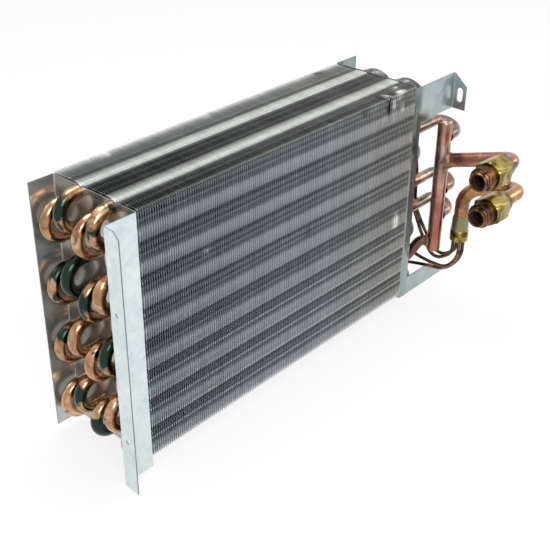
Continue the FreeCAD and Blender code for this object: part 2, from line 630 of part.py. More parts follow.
def fitting(label, tip_inset, axis_height):
    """One fitting, with its tip and its axis bound to two sizes."""
    tip = Vector(fin_length - size(tip_inset), -size("fitting_forward"), size(axis_height))
    tip_x = f"Sizes.fin_length - Sizes.{tip_inset}"
    nose_steps = [(0, size("nose_tip_radius")), (size("nose_length"), size("nose_root_radius"))]
    nose = stepped_bar(rightward, nose_steps, turned_sides)
    stages = [feature(label + "_nose", nose, corner + tip)]
    for name, sides, flat, start, length in FLAT_STAGES:
        stage = doc.addObject("Part::Prism", f"{label}_{name}")
        stage.Polygon = sides
        stage.setExpression("Circumradius", f"{flat} / cos(180 / {sides})")
        stage.setExpression("Height", length)
        stage.Placement.Rotation = lengthwise
        place(stage, f"{tip_x} + {start}", "-Sizes.fitting_forward", f"Sizes.{axis_height}")
        stages.append(stage)
    for name, radius, start, length in ROUND_STAGES:
        stage = doc.addObject("Part::Cylinder", f"{label}_{name}")
        stage.setExpression("Radius", radius)
        stage.setExpression("Height", length)
        stage.Placement.Rotation = lengthwise
        place(stage, f"{tip_x} + {start}", "-Sizes.fitting_forward", f"Sizes.{axis_height}")
        stages.append(stage)
    body = doc.addObject("Part::MultiFuse", label + "_body")
    body.Shapes = stages[:-1]
    whole = doc.addObject("Part::Cut", label)
    whole.Base = body
    whole.Tool = stages[-1]
    return keep(whole, label)


fitting("suction_fitting", "suction_tip_inset", "suction_fitting_height")
fitting("liquid_fitting", "liquid_tip_inset", "liquid_fitting_height")

# Line pipes: the suction pipe leaves the header through a saddle joint. The liquid pipe
# rises from the distributor. Both come forward and turn left into their fittings.
pipe_sides = count("pipe_sides")
pipe_chords = count("pipe_chords")
suction_branch = header_axis + Vector(0, 0, size("suction_height"))
suction_corner = Vector(fin_length + size("suction_corner_reach"), -size("fitting_forward"),
                        size("suction_fitting_height"))
suction_run = size("suction_corner_reach") + size("suction_tip_inset") - fitting_length
suction_end = suction_corner - rightward * suction_run
suction_start = suction_branch + (suction_corner - suction_branch).normalize() * size("saddle_start")
suction_points = [suction_start, suction_corner, suction_end]
suction_route = rounded_route(suction_points, [size("elbow_radius")], pipe_chords)
suction_pipe = doc.addObject("Part::Cut", "suction_pipe")
suction_pipe.Base = feature("suction_pipe_bar", bar(suction_route, pipe_radius, pipe_sides))
suction_pipe.Tool = header_tube
keep(suction_pipe, "suction_pipe")

upright_axis = Vector(fin_length + size("upright_reach"), -size("upright_forward"), 0)
liquid_corner = Vector(fin_length + size("liquid_corner_reach"), -size("fitting_forward"),
                       size("liquid_fitting_height"))
liquid_run = size("liquid_corner_reach") + size("liquid_tip_inset") - fitting_length
liquid_end = liquid_corner - rightward * liquid_run
liquid_points = [
    upright_axis + Vector(0, 0, size("distributor_top")),
    upright_axis + Vector(0, 0, size("liquid_run_height")),
    liquid_corner,
    liquid_end,
]
liquid_radii = [size("upright_bend_radius"), size("elbow_radius")]
liquid_route = rounded_route(liquid_points, liquid_radii, pipe_chords)
keep(feature("liquid_pipe", bar(liquid_route, pipe_radius, pipe_sides)), "liquid_pipe")

# Distributor: a turned brass body under the liquid pipe, with its sleeve brazed on top.
distributor_steps = [
    (size("distributor_bottom"), size("distributor_radius")),
    (size("distributor_shoulder"), size("distributor_radius")),
    (size("distributor_top"), size("distributor_sleeve_radius")),
]
distributor = stepped_bar(upward, distributor_steps, turned_sides)
keep(feature("distributor", distributor, corner + upright_axis), "distributor")

# Capillaries: four thin tubes from the distributor's underside. They sweep under the header
# and climb behind it to a reducing ferrule on each circuit's inlet in the back row.
# Each has its outlet's angle round the distributor, its drop below the outlet, then its
# points: sideways from the fins' end, back from their front edges, and up.
SWEEPS = (
    (315, 19.0, ((37.0, -24.0, 21.0), (31.5, -4.0, 21.0), (30.0, 38.0, 12.0))),
    (225, 17.0, ((33.3, -26.0, 25.0), (30.8, 2.0, 27.0), (30.3, 42.0, 42.0))),
    (135, 15.0, ((33.8, -12.0, 29.0), (33.2, 2.0, 48.0), (32.6, 15.5, 77.0), (31.0, 44.0, 118.0))),
    (45, 14.0, (
        (38.5, -15.0, 32.0), (37.5, 2.0, 51.0), (37.0, 16.0, 75.0), (36.0, 16.5, 128.0), (33.0, 42.0, 172.0),
    )),
)
capillary_radius = size("capillary_diameter") / 2
capillary_sides = count("capillary_sides")
ferrule_steps = [(0, tube_radius), (size("ferrule_length"), size("ferrule_tip_radius"))]
last_row = rows[-1]
for circuit, (outlet_angle, drop, sweep) in zip(circuits, SWEEPS):
    inlet = tube_centre(last_row, feed_level(circuit)) + rightward * tube_end
    name = f"inlet_ferrule_{circuit + 1}"
    keep(feature(name, stepped_bar(rightward, ferrule_steps, tube_sides), corner + inlet), name)

    angle = math.radians(outlet_angle)
    outlet = upright_axis + Vector(math.cos(angle), math.sin(angle), 0) * size("outlet_circle_radius")
    outlet.z = size("distributor_bottom")
    ferrule_end = inlet + rightward * size("ferrule_length")
    approach = ferrule_end + rightward * size("capillary_approach")
    middle = [Vector(fin_length + x, y, z) for x, y, z in sweep]
    points = [outlet, outlet - upward * drop] + middle + [approach, ferrule_end]
    route = rounded_route(points, easy_radii(points), count("capillary_chords"))
    name = f"capillary_{circuit + 1}"
    keep(feature(name, bar(route, capillary_radius, capillary_sides)), name)

doc.recompute()
for thing in doc.Objects:
    if "Invalid" in thing.State or "Error" in thing.State:
        raise RuntimeError(f"{thing.Name} failed: {thing.State}")
for piece in pieces:
    if piece.Shape.isNull() or not piece.Shape.isValid() or len(piece.Shape.Solids) != 1:
        raise RuntimeError(f"{piece.Label} is not one valid solid")

os.makedirs("parts", exist_ok=True)
for piece in pieces:
    piece.Shape.exportStep(f"parts/{piece.Label}.step")
print(len(pieces), "pieces")
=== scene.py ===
import math
import random

import bpy
from mathutils import Matrix, Vector, noise
from mathutils.geometry import delaunay_2d_cdt


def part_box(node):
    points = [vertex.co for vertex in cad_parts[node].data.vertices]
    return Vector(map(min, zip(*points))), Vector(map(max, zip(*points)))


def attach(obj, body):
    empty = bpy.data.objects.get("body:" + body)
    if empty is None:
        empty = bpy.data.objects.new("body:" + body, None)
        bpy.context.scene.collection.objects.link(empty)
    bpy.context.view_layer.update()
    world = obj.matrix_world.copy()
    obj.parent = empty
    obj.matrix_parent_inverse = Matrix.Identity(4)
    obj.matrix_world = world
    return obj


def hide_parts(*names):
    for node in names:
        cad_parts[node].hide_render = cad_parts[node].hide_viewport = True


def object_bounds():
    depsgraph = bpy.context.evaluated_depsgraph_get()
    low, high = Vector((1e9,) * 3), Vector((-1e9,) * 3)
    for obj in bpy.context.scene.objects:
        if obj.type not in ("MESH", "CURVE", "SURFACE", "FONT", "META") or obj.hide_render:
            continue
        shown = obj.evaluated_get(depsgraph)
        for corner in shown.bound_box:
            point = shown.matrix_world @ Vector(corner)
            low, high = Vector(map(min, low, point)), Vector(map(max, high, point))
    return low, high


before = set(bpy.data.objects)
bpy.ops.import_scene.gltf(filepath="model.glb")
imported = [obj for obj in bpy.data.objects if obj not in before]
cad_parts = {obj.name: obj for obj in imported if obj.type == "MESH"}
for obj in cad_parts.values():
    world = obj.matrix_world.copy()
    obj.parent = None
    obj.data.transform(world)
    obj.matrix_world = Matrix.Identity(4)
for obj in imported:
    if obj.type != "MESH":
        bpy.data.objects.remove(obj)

MM = 0.001
cad_low, cad_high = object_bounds()
bpy.context.scene.view_settings.view_transform = "Standard"

# Camera: it looks down on the core from its front left, as a photographer stands at the
# corner of a table, about 0.8 m away with a short telephoto lens.
CAMERA_PLACE = Vector((-0.339483, -0.438264, 0.407714))
CAMERA_AZIMUTH = math.radians(-48.34848)
CAMERA_ELEVATION = math.radians(30.65353)
CAMERA_ROLL = math.radians(0.61678)
LENS = 65.825
SENSOR = 36.0

back = Vector((
    math.sin(CAMERA_AZIMUTH) * math.cos(CAMERA_ELEVATION),
    -math.cos(CAMERA_AZIMUTH) * math.cos(CAMERA_ELEVATION),
    math.sin(CAMERA_ELEVATION),
))
sideways = Vector((0, 0, 1)).cross(back).normalized()
upright = back.cross(sideways)
right = sideways * math.cos(CAMERA_ROLL) + upright * math.sin(CAMERA_ROLL)
above = upright * math.cos(CAMERA_ROLL) - sideways * math.sin(CAMERA_ROLL)
camera_data = bpy.data.cameras.new("camera")
camera_data.lens = LENS
camera_data.sensor_width = SENSOR
camera_data.clip_start = 0.01
camera = bpy.data.objects.new("camera", camera_data)
camera.matrix_world = Matrix.Translation(CAMERA_PLACE) @ Matrix((right, above, back)).transposed().to_4x4()
bpy.context.scene.collection.objects.link(camera)
bpy.context.scene.camera = camera

# Studio: a matt white table that reaches to a white background, large soft lamps over the
# front left and the middle, a weaker one on the right and even light all round.
ROOM_LIGHT = 0.62
PAPER_GLOW = 0.82
TABLE_REACH = 4.0
TABLE_GAP = 0.4 * MM


def srgb(code):
    """Turn a hex colour, as read off a swatch, into linear light."""
    parts = [int(code[k:k + 2], 16) / 255 for k in (1, 3, 5)]
    return [p / 12.92 if p <= 0.04045 else ((p + 0.055) / 1.055) ** 2.4 for p in parts] + [1.0]


def add_node(tree, kind, inputs=None, **settings):
    """Add one node with its settings, and fill its inputs from values, sockets or other nodes.

    From another node it takes the first output in use. Inputs go by name or by number: a Map
    Range takes its value in 0, the old span in 1 and 2 and the new one in 3 and 4, and a Mix
    takes its share in 0 and two colours in 6 and 7.
    """
    made = tree.nodes.new("ShaderNode" + kind)
    for name, value in settings.items():
        setattr(made, name, value)
    for name, value in (inputs or {}).items():
        if isinstance(value, bpy.types.Node):
            value = next(socket for socket in value.outputs if socket.enabled)
        if isinstance(value, bpy.types.NodeSocket):
            tree.links.new(value, made.inputs[name])
        else:
            made.inputs[name].default_value = value
    return made


def cleared(owner):
    """Give a material or the world an empty node tree, and return the tree."""
    owner.use_nodes = True
    owner.node_tree.nodes.clear()
    return owner.node_tree


def seen_as_background(tree):
    """Share that is 1 where the camera, glass or polished metal sees it, and 0 for its light."""
    ray = add_node(tree, "LightPath")
    direct = add_node(tree, "Math", {
        0: ray.outputs["Is Camera Ray"], 1: ray.outputs["Is Transmission Ray"]}, operation="MAXIMUM")
    return add_node(tree, "Math", {0: direct, 1: ray.outputs["Is Glossy Ray"]}, operation="MAXIMUM")


world = bpy.data.worlds.new("white studio")
tree = cleared(world)
room = add_node(tree, "Background", {"Color": srgb("#F4F7FA"), "Strength": ROOM_LIGHT})
backdrop = add_node(tree, "Background", {"Color": srgb("#FFFFFF"), "Strength": 1.0})
mixed = add_node(tree, "MixShader", {0: seen_as_background(tree), 1: room, 2: backdrop})
add_node(tree, "OutputWorld", {"Surface": mixed})
bpy.context.scene.world = world

# Matt white paper: nearly as white as the background, with the core's soft shadow on it.
paper = bpy.data.materials.new("matt white paper")
tree = cleared(paper)
matt = add_node(tree, "BsdfDiffuse", {"Color": srgb("#F2F2F0")})
glow = add_node(tree, "Emission", {"Color": srgb("#FFFFFF"), "Strength": 1.0})
share = add_node(tree, "Math", {0: seen_as_background(tree), 1: PAPER_GLOW}, operation="MULTIPLY")
mixed = add_node(tree, "MixShader", {0: share, 1: matt, 2: glow})
add_node(tree, "OutputMaterial", {"Surface": mixed})
floor_mesh = bpy.data.meshes.new("table_top")
corners = [(x * TABLE_REACH, y * TABLE_REACH, 0) for x, y in ((-1, -1), (1, -1), (1, 1), (-1, 1))]
floor_mesh.from_pydata(corners, [], [(0, 1, 2, 3)])
floor_mesh.materials.append(paper)
floor = bpy.data.objects.new("table_top", floor_mesh)
floor.location.z = cad_low.z - TABLE_GAP
bpy.context.scene.collection.objects.link(floor)


def soft_lamp(name, place, width, watts):
    """Hang a square soft lamp that faces the middle of the core."""
    data = bpy.data.lights.new(name, "AREA")
    data.shape = "SQUARE"
    data.size = width
    data.energy = watts
    lamp = bpy.data.objects.new(name, data)
    middle = (cad_low + cad_high) / 2
    lamp.location = place
    lamp.rotation_euler = (Vector(place) - middle).to_track_quat("Z", "Y").to_euler()
    bpy.context.scene.collection.objects.link(lamp)


soft_lamp("front_left_lamp", (-0.7, -1.1, 1.0), 0.8, 13)
soft_lamp("top_lamp", (0.3, 0.3, 1.5), 0.9, 12)
soft_lamp("right_lamp", (1.3, -0.8, 0.7), 0.7, 6)

# Fin pack: about 145 fins of aluminium foil, pressed with ripples and pushed over the
# tubes, where their collars touch and keep them 2.1 mm apart. Handling has bent some edges.
FIN_COUNT = 145
FIN_DISH = 1.3
FIN_TONES = 0.07
END_GAP = 0.1
COLLAR_RADIUS = 5.05
COLLAR_SIDES = 20
FRONT_ROW_INSET = 6.9
ROW_PITCH = 17.25
TUBE_PITCH = 25.4
ROWS = 5
LEVELS = 8
# The ripples' flats and ridges, as distances from a tube, and how far an edge leans with them.
FLAT_REACH = 5.8
RIDGE_NEAR, RIDGE_FAR = 8.7, 10.7
RIPPLE_LEAN = 0.75
RIPPLE_START = -0.35
EDGE_REACH = 2.4
WAVER = 0.18
WAVER_PACE = Vector((0.35, 0.04, 0.04))
DENT_FALL = 1.6
GLINT_DEPTH = 2.5
fins_low, fins_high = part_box("fin_pack")
FIN_LENGTH, FIN_DEPTH, FIN_HEIGHT = (fins_high - fins_low) / MM


def on_core(x, y, z):
    """Place in the row's frame of a point in millimetres from the fins' lower front left corner."""
    return fins_low + Vector((x, y, z)) * MM


def tube_at(row, level):
    """Depth and height of a tube's centre, rows and levels counted from 0."""
    lowest = TUBE_PITCH / 4 if row % 2 == 0 else TUBE_PITCH * 3 / 4
    return FRONT_ROW_INSET + row * ROW_PITCH, lowest + level * TUBE_PITCH


# Each dent: side, place along the core, height or depth, reach along and across, and push.
DENTS = (
    ("front", 284, 203, 5, 5, 1.5),
    ("front", 276, 196, 3, 8, 1.8),
    ("front", 270, 196, 3, 8, -2.2),
    ("front", 289, 191, 3, 4, 1.4),
    ("front", 238, 204, 5, 6, -1.8),
    ("front", 292, 84, 4, 9, 1.8),
    ("top", 273, 4, 3, 7, 2.2),
    ("top", 267, 4, 3, 7, -2.0),
    ("top", 294, 13, 3, 3, 1.6),
    ("top", 297, 21, 6, 3, -1.8),
    ("top", 287, 3, 3, 3, 1.4),
    ("front", 60, 150, 4, 5, 0.9),
    ("front", 171, 120, 4, 4, -0.8),
    ("top", 142, 84, 6, 7, 2.4),
    ("top", 279, 83, 7, 8, -2.6),
    ("top", 290, 4, 6, 6, 2.6),
    ("top", 200, 3, 5, 4, -1.2),
    ("top", 43, 83, 5, 6, 1.8),
)
# Each painted glint, where a bent edge flashes, and painted shadow, where a gap yawns: side,
# place, height or depth, reach along and across, and how much lighter or darker it is.
PAINTED_GLINTS_AND_SHADOWS = (
    ("top", 293, 11.8, 2.4, 1.0, 0.9),
    ("top", 286, 4.0, 2.4, 1.2, 0.9),
    ("top", 294.5, 3.5, 1.4, 1.2, 0.5),
    ("top", 290, 8.0, 4.0, 1.0, -0.3),
    ("top", 297, 20.5, 7.0, 2.0, 0.45),
    ("top", 300, 16.5, 6.0, 1.2, -0.3),
    ("top", 271, 6.0, 4.0, 2.0, 0.4),
    ("front", 273, 195, 1.1, 6.0, -0.7),
    ("top", 272, 1.5, 1.1, 3.0, -0.7),
    ("front", 281.5, 192, 0.9, 3.6, 0.7),
    ("front", 288.6, 191.5, 0.9, 2.4, 0.5),
    ("front", 268, 188, 1.2, 4.5, 0.45),
    ("front", 264, 187, 1.2, 4.5, 0.4),
    ("front", 278, 182, 1.2, 4.0, 0.35),
    ("front", 293, 90, 2.6, 1.6, 0.6),
    ("front", 288.5, 83, 1.1, 4.0, 0.7),
    ("top", 142, 83, 5.0, 3.0, -0.5),
    ("top", 280, 82, 6.0, 3.0, -0.4),
)


def painted_glint_and_shadow(x, y, z):
    """How much lighter or darker a fin is painted at a point, by its glints and shadows."""
    light = 0.0
    for side, along, across, reach, spread, amount in PAINTED_GLINTS_AND_SHADOWS:
        depth, place = (y, z) if side == "front" else (FIN_HEIGHT - z, y)
        if depth < GLINT_DEPTH:
            light += amount * math.exp(-((x - along) / reach) ** 2 - ((place - across) / spread) ** 2)
    return light


def ripple(distance, period, offset):
    """Lean of a rippled edge: 1 on the flat round a tube, 0.5 on the ridges between and 0 beside."""
    place = (distance - offset) / period % 1.0
    place = min(place, 1 - place) * period
    if place < FLAT_REACH:
        return 1.0
    return 0.5 if RIDGE_NEAR < place < RIDGE_FAR else 0.0


def fin_push(x, y, z):
    """How far a fin's edge stands to the right of the fin's plane, in millimetres."""
    at_front = max(0.0, 1 - y / EDGE_REACH)
    at_top = max(0.0, 1 - (FIN_HEIGHT - z) / EDGE_REACH)
    front_lean = ripple(z, TUBE_PITCH, TUBE_PITCH / 4)
    top_lean = ripple(y, 2 * ROW_PITCH, FRONT_ROW_INSET + ROW_PITCH)
    push = at_front * (RIPPLE_START + RIPPLE_LEAN * front_lean)
    push += at_top * (RIPPLE_START + RIPPLE_LEAN * top_lean)
    push += WAVER * noise.noise(Vector((x, y, z)) * WAVER_PACE) * max(at_front, at_top)
    for side, along, across, reach, spread, shift in DENTS:
        edge, place = (at_front, z) if side == "front" else (at_top, y)
        if edge > 0:
            far = ((x - along) / reach) ** 2 + ((place - across) / spread) ** 2
            push += edge * shift * math.exp(-far * DENT_FALL)
    return push


def fin_rim(inset):
    """Points round a fin's rectangle, close together along its front and its top edge."""
    low_y, high_y, low_z, high_z = inset, FIN_DEPTH - inset, inset, FIN_HEIGHT - inset
    sides = (
        (96, (low_y, low_z), (low_y, high_z)),
        (44, (low_y, high_z), (high_y, high_z)),
        (30, (high_y, high_z), (high_y, low_z)),
        (12, (high_y, low_z), (low_y, low_z)),
    )
    rim = []
    for steps, start, end in sides:
        for k in range(steps):
            share = k / steps
            rim.append((start[0] + (end[0] - start[0]) * share, start[1] + (end[1] - start[1]) * share))
    return rim


def ring_faces(first, size):
    """Faces between a ring of points, numbered from first, and the ring after it."""
    faces = []
    for k in range(size):
        here = first + k
        beside = first + (k + 1) % size
        faces.append((here, beside, beside + size, here + size))
    return faces


FIN_INSETS = (0.0, 1.0, EDGE_REACH, 6.0)
fin_rims = [fin_rim(inset) for inset in FIN_INSETS]
rim_size = len(fin_rims[0])
fin_vertices, fin_faces, fin_depths, fin_tones_and_glints = [], [], [], []
chance = random.Random(7)
for index in range(FIN_COUNT):
    plane = (index + 0.5) * FIN_LENGTH / FIN_COUNT
    tone = chance.uniform(-FIN_TONES, FIN_TONES)
    first = len(fin_vertices)
    for inset, rim in zip(FIN_INSETS, fin_rims):
        dish = FIN_DISH if inset == FIN_INSETS[-1] else 0.0
        for y, z in rim:
            x = plane + fin_push(plane, y, z) - dish
            fin_vertices.append(on_core(min(max(x, END_GAP), FIN_LENGTH - END_GAP), y, z))
            fin_depths.append(inset)
            fin_tones_and_glints.append(tone + painted_glint_and_shadow(plane, y, z))
    inmost = first + (len(FIN_INSETS) - 1) * rim_size
    for ring in range(first, inmost, rim_size):
        fin_faces += ring_faces(ring, rim_size)
    fin_faces.append(tuple(range(inmost, inmost + rim_size)))

TUBES = [tube_at(row, level) for row in range(ROWS) for level in range(LEVELS)]
for y, z in TUBES:
    fin_faces += ring_faces(len(fin_vertices), COLLAR_SIDES)
    for x in (0.0, FIN_LENGTH):
        for k in range(COLLAR_SIDES):
            angle = 2 * math.pi * k / COLLAR_SIDES
            across = COLLAR_RADIUS * math.cos(angle)
            up = COLLAR_RADIUS * math.sin(angle)
            fin_vertices.append(on_core(x, y + across, z + up))
            fin_depths.append(FIN_INSETS[-1])
            fin_tones_and_glints.append(0.0)

# Mill finish foil: a soft grey sheen, with light and shade painted into its colour. Painted
# bands make the flats round the tubes bright and the ripples between them dark, with two thin
# painted lines of light. The outermost half millimetre of each fin is painted bright, and the
# gap behind it is painted dark as shade.
GRAIN_WIDTH = 2.4
TOP_SKIN = 2.0
FLAT_SHARE = 0.66
WARM_FROM = 0.65


def set_stops(ramp, stops):
    """Give a colour ramp its stops, each a place from 0 to 1 and a colour."""
    while len(ramp.elements) < len(stops):
        ramp.elements.new(0.5)
    for element, (place, colour) in zip(ramp.elements, stops):
        element.position = place
        element.color = colour


foil = bpy.data.materials.new("rippled aluminium foil")
tree = cleared(foil)
place = add_node(tree, "TexCoord").outputs["Object"]
split = add_node(tree, "SeparateXYZ", {0: place})
risen = add_node(tree, "Math", {
    0: split.outputs["Z"], 1: fins_low.z + TUBE_PITCH / 4 * MM}, operation="SUBTRACT")
pitches = add_node(tree, "Math", {0: risen, 1: TUBE_PITCH * MM}, operation="DIVIDE")
height = add_node(tree, "Math", {0: pitches}, operation="FRACT")
depth = add_node(tree, "MapRange", {0: split.outputs["Y"], 1: fins_low.y, 2: fins_high.y})
# Each stop: millimetres above a front tube, or behind the front edge, and its share of painted light.
FRONT_BANDS = (
    (0.0, 0.64), (4.8, 0.58), (6.4, 0.34), (8.6, 0.3), (9.4, 0.62), (10.2, 0.62), (11.0, 0.12),
    (14.2, 0.1), (15.0, 0.56), (15.8, 0.56), (16.6, 0.1), (18.8, 0.14), (20.4, 0.58), (25.4, 0.64),
)
TOP_BANDS = (
    (0.0, 0.35), (1.7, 0.5), (3.9, 0.04), (8.6, 0.02), (10.4, 0.5), (12.5, 0.02), (15.1, 0.06),
    (16.6, 0.5), (20.5, 1.0), (26.4, 1.0), (30.8, 0.45), (31.9, 0.04), (34.5, 0.0), (36.2, 0.36),
    (38.0, 0.0), (42.3, 0.0), (44.4, 0.36), (46.6, 0.0), (49.2, 0.04), (50.7, 0.5), (55.0, 1.0),
    (61.0, 1.0), (65.8, 0.45), (67.7, 0.3), (70.7, 0.55), (86.25, 0.9),
)
bands = []
for source, reach, stops in ((height, TUBE_PITCH, FRONT_BANDS), (depth, FIN_DEPTH, TOP_BANDS)):
    band = add_node(tree, "ValToRGB", {0: source})
    band.color_ramp.interpolation = "EASE"
    set_stops(band.color_ramp, [(distance / reach, (share, share, share, 1)) for distance, share in stops])
    bands.append(band)
on_top = add_node(tree, "Math", {
    0: split.outputs["Z"], 1: fins_high.z - TOP_SKIN * MM}, operation="GREATER_THAN")
light = add_node(tree, "Mix", {0: on_top, 6: bands[0], 7: bands[1]}, data_type="RGBA")
grain = add_node(tree, "TexNoise", {"Vector": place, "Scale": 1 / (GRAIN_WIDTH * MM), "Detail": 3.0})
worn = add_node(tree, "MapRange", {0: grain, 3: -0.14, 4: 0.14})
# Each fin's random tone, with its painted glints and shadows added.
tone_and_glint = add_node(tree, "Attribute", attribute_name="tone")
varied = add_node(tree, "Math", {0: tone_and_glint.outputs["Fac"], 1: worn}, operation="ADD")
# Painted light lifts the dark bands towards the right, so they are paler there.
rightward_painted_lift = add_node(tree, "MapRange", {
    0: split.outputs["X"], 1: fins_low.x, 2: fins_high.x, 3: 0.0, 4: 0.36})
darkness = add_node(tree, "Math", {0: FLAT_SHARE, 1: light}, operation="SUBTRACT")
evened = add_node(tree, "Math", {0: darkness, 1: rightward_painted_lift, 2: light}, operation="MULTIPLY_ADD")
shade = add_node(tree, "Math", {0: evened, 1: varied}, operation="ADD", use_clamp=True)
# Painted shade in the gaps: the rim is painted bright and the fin's face behind it dark.
depth_in = add_node(tree, "Attribute", attribute_name="depth_in")
edge = add_node(tree, "MapRange", {0: depth_in.outputs["Fac"], 1: 0.35, 2: 1.0, 3: 1.0, 4: 0.0})
# The front has a blue cast that turns to a warm grey towards the right end.
warmer = add_node(tree, "MapRange", {
    0: split.outputs["X"], 1: fins_low.x + WARM_FROM * FIN_LENGTH * MM, 2: fins_high.x})
front_rim = add_node(tree, "Mix", {0: warmer, 6: srgb("#BEC8D3"), 7: srgb("#C4BEB8")}, data_type="RGBA")
front_gap = add_node(tree, "Mix", {0: warmer, 6: srgb("#CAD1D9"), 7: srgb("#C9C4BE")}, data_type="RGBA")
# On the top, the painted dark bands are deeper and greyer and the painted bright ones whiter.
dark_rim = add_node(tree, "Mix", {0: on_top, 6: front_rim, 7: srgb("#8E908B")}, data_type="RGBA")
bright_gap = add_node(tree, "Mix", {0: on_top, 6: front_gap, 7: srgb("#E6E9E4")}, data_type="RGBA")
gap = add_node(tree, "Mix", {0: shade, 6: srgb("#272F38"), 7: bright_gap}, data_type="RGBA")
rim = add_node(tree, "Mix", {0: shade, 6: dark_rim, 7: srgb("#FFFFFC")}, data_type="RGBA")
tint = add_node(tree, "Mix", {0: edge, 6: gap, 7: rim}, data_type="RGBA")
metal = add_node(tree, "BsdfPrincipled", {"Base Color": tint, "Metallic": 0.6, "Roughness": 0.42})
add_node(tree, "OutputMaterial", {"Surface": metal})


def object_from(name, mesh, materials, slot, *nodes):
    """Put a finished mesh on the core, in place of its CAD nodes."""
    for material in materials:
        mesh.materials.append(material)
    made = bpy.data.objects.new(name, mesh)
    bpy.context.scene.collection.objects.link(made)
    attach(made, "root")
    if nodes:
        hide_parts(*nodes)


fin_mesh = bpy.data.meshes.new("fins")
fin_mesh.from_pydata(fin_vertices, [], fin_faces)
for name, values in (("depth_in", fin_depths), ("tone", fin_tones_and_glints)):
    fin_mesh.attributes.new(name, "FLOAT", "POINT").data.foreach_set("value", values)
object_from("fins", fin_mesh, [foil], "fins", "fin_pack")

# Tube sheets: galvanised steel 1 mm thick, punched flat with all its holes and then folded
# on a press. The left one has a front flange with a lip for two screws, and a back flange.
SHEET = 1.0
INNER_RADIUS = 0.6
OUTER_RADIUS = INNER_RADIUS + SHEET
FOLD_STEPS = 5
HOLE_SIDES = 20
HOLE_RADIUS = 4.95
QUARTER = math.pi / 2
SHARP_FOLD = math.radians(32)
NEARLY = 1e-6


def folded_line(start, heading, runs):
    """Stretches of a folded section, each with its start, place, heading, turn and radius.

    Each run gives its length to the sharp corner, the turn there and the drawn side's radius.
    """
    stretches = []
    place, angle, travelled, lead = Vector(start), heading, 0.0, 0.0
    for length, turn, radius in runs:
        straight = length - lead - radius
        stretches.append((travelled, place.copy(), angle, 0.0, 0.0))
        travelled += straight
        place += Vector((math.cos(angle), math.sin(angle))) * straight
        lead = radius
        if turn:
            stretches.append((travelled, place.copy(), angle, turn, radius))
            inward = Vector((-math.sin(angle), math.cos(angle))) * math.copysign(radius, turn)
            place += inward - Matrix.Rotation(turn, 2) @ inward
            angle += turn
            travelled += radius * abs(turn)
    return stretches, travelled


def folded_place(stretches, distance, depth):
    """Place after a distance along a folded section, at a depth to the left of its line."""
    passed = [stretch for stretch in stretches if stretch[0] <= max(distance, 0) + NEARLY]
    begun, place, angle, turn, radius = passed[-1]
    along = distance - begun
    left = Vector((-math.sin(angle), math.cos(angle)))
    if not turn:
        return place + Vector((math.cos(angle), math.sin(angle))) * along + left * depth
    side = math.copysign(1, turn)
    spoke = Matrix.Rotation(side * along / radius, 2) @ (left * (depth - side * radius))
    return place + left * side * radius + spoke


def fold_spans(stretches, low, high):
    """First and last distance of each fold, and the heights that it spans, 1 mm past the blank."""
    pairs = zip(stretches, stretches[1:])
    return [(begun, after[0], low - 1, high + 1) for (begun, _, _, turn, _), after in pairs if turn]


def inside(point, loop):
    """True where a point of the flat blank lies inside a loop."""
    crossings = False
    for (x0, y0), (x1, y1) in zip(loop, loop[1:] + loop[:1]):
        if (y0 > point[1]) != (y1 > point[1]) and point[0] < (x1 - x0) * (point[1] - y0) / (y1 - y0) + x0:
            crossings = not crossings
    return crossings


def hole(centre, radius, half_slot=0.0):
    """Loop of a round hole, or of an upright slot."""
    loop = []
    for k in range(HOLE_SIDES):
        angle = 2 * math.pi * (k + 0.5) / HOLE_SIDES
        up = math.copysign(half_slot, math.sin(angle))
        loop.append((centre[0] + radius * math.cos(angle), centre[1] + radius * math.sin(angle) + up))
    return loop


def folded_sheet(name, outline, holes, folds, fold_point):
    """Mesh of a blank that is cut out, pierced and folded, its cut edges in the second material.

    Each fold gives its first and last distance along the blank and its lowest and highest end.
    """
    points, edges = [], []
    for loop in [outline] + holes:
        first = len(points)
        points += [Vector(p) for p in loop]
        edges += [(first + k, first + (k + 1) % len(loop)) for k in range(len(loop))]
    for begin, end, low, high in folds:
        for step in range(FOLD_STEPS + 1):
            distance = begin + (end - begin) * step / FOLD_STEPS
            points += [Vector((distance, low)), Vector((distance, high))]
            edges.append((len(points) - 2, len(points) - 1))
    flat, _, triangles, _, _, _ = delaunay_2d_cdt(points, edges, [], 0, 10 * NEARLY)
    kept = []
    for triangle in triangles:
        middle = sum((flat[k] for k in triangle), Vector((0, 0))) / len(triangle)
        if inside(middle, outline) and not any(inside(middle, loop) for loop in holes):
            kept.append(tuple(triangle))
    sides = {pair for triangle in kept for pair in zip(triangle, triangle[1:] + triangle[:1])}
    used = {k: place for place, k in enumerate(sorted({k for triangle in kept for k in triangle}))}
    count = len(used)
    vertices = [on_core(*fold_point(flat[k].x, flat[k].y, depth)) for depth in (0.0, SHEET) for k in used]
    faces = [tuple(used[k] for k in triangle) for triangle in kept]
    faces += [tuple(used[k] + count for k in reversed(triangle)) for triangle in kept]
    plain = len(faces)
    for start, end in sides:
        if (end, start) not in sides:
            faces.append((used[end], used[start], used[start] + count, used[end] + count))
    mesh = bpy.data.meshes.new(name)
    mesh.from_pydata(vertices, [], faces)
    mesh.polygons.foreach_set("material_index", [0 if k < plain else 1 for k in range(len(faces))])
    mesh.shade_smooth()
    mesh.set_sharp_from_angle(angle=SHARP_FOLD)
    return mesh


CRYSTAL_WIDTH = 5.9
PATCH_WIDTH = 26.3
MARK_WIDTH = 3.85
# Millimetres from a flange over which painted shade sets in, from the joints over which it
# thins out, and up the sheet over which it thickens.
FLANGE_FADE = (1.3, 4.0)
JOINT_FADE = (6.0, 12.0)
JOINT_RISE = (30.0, 170.0)


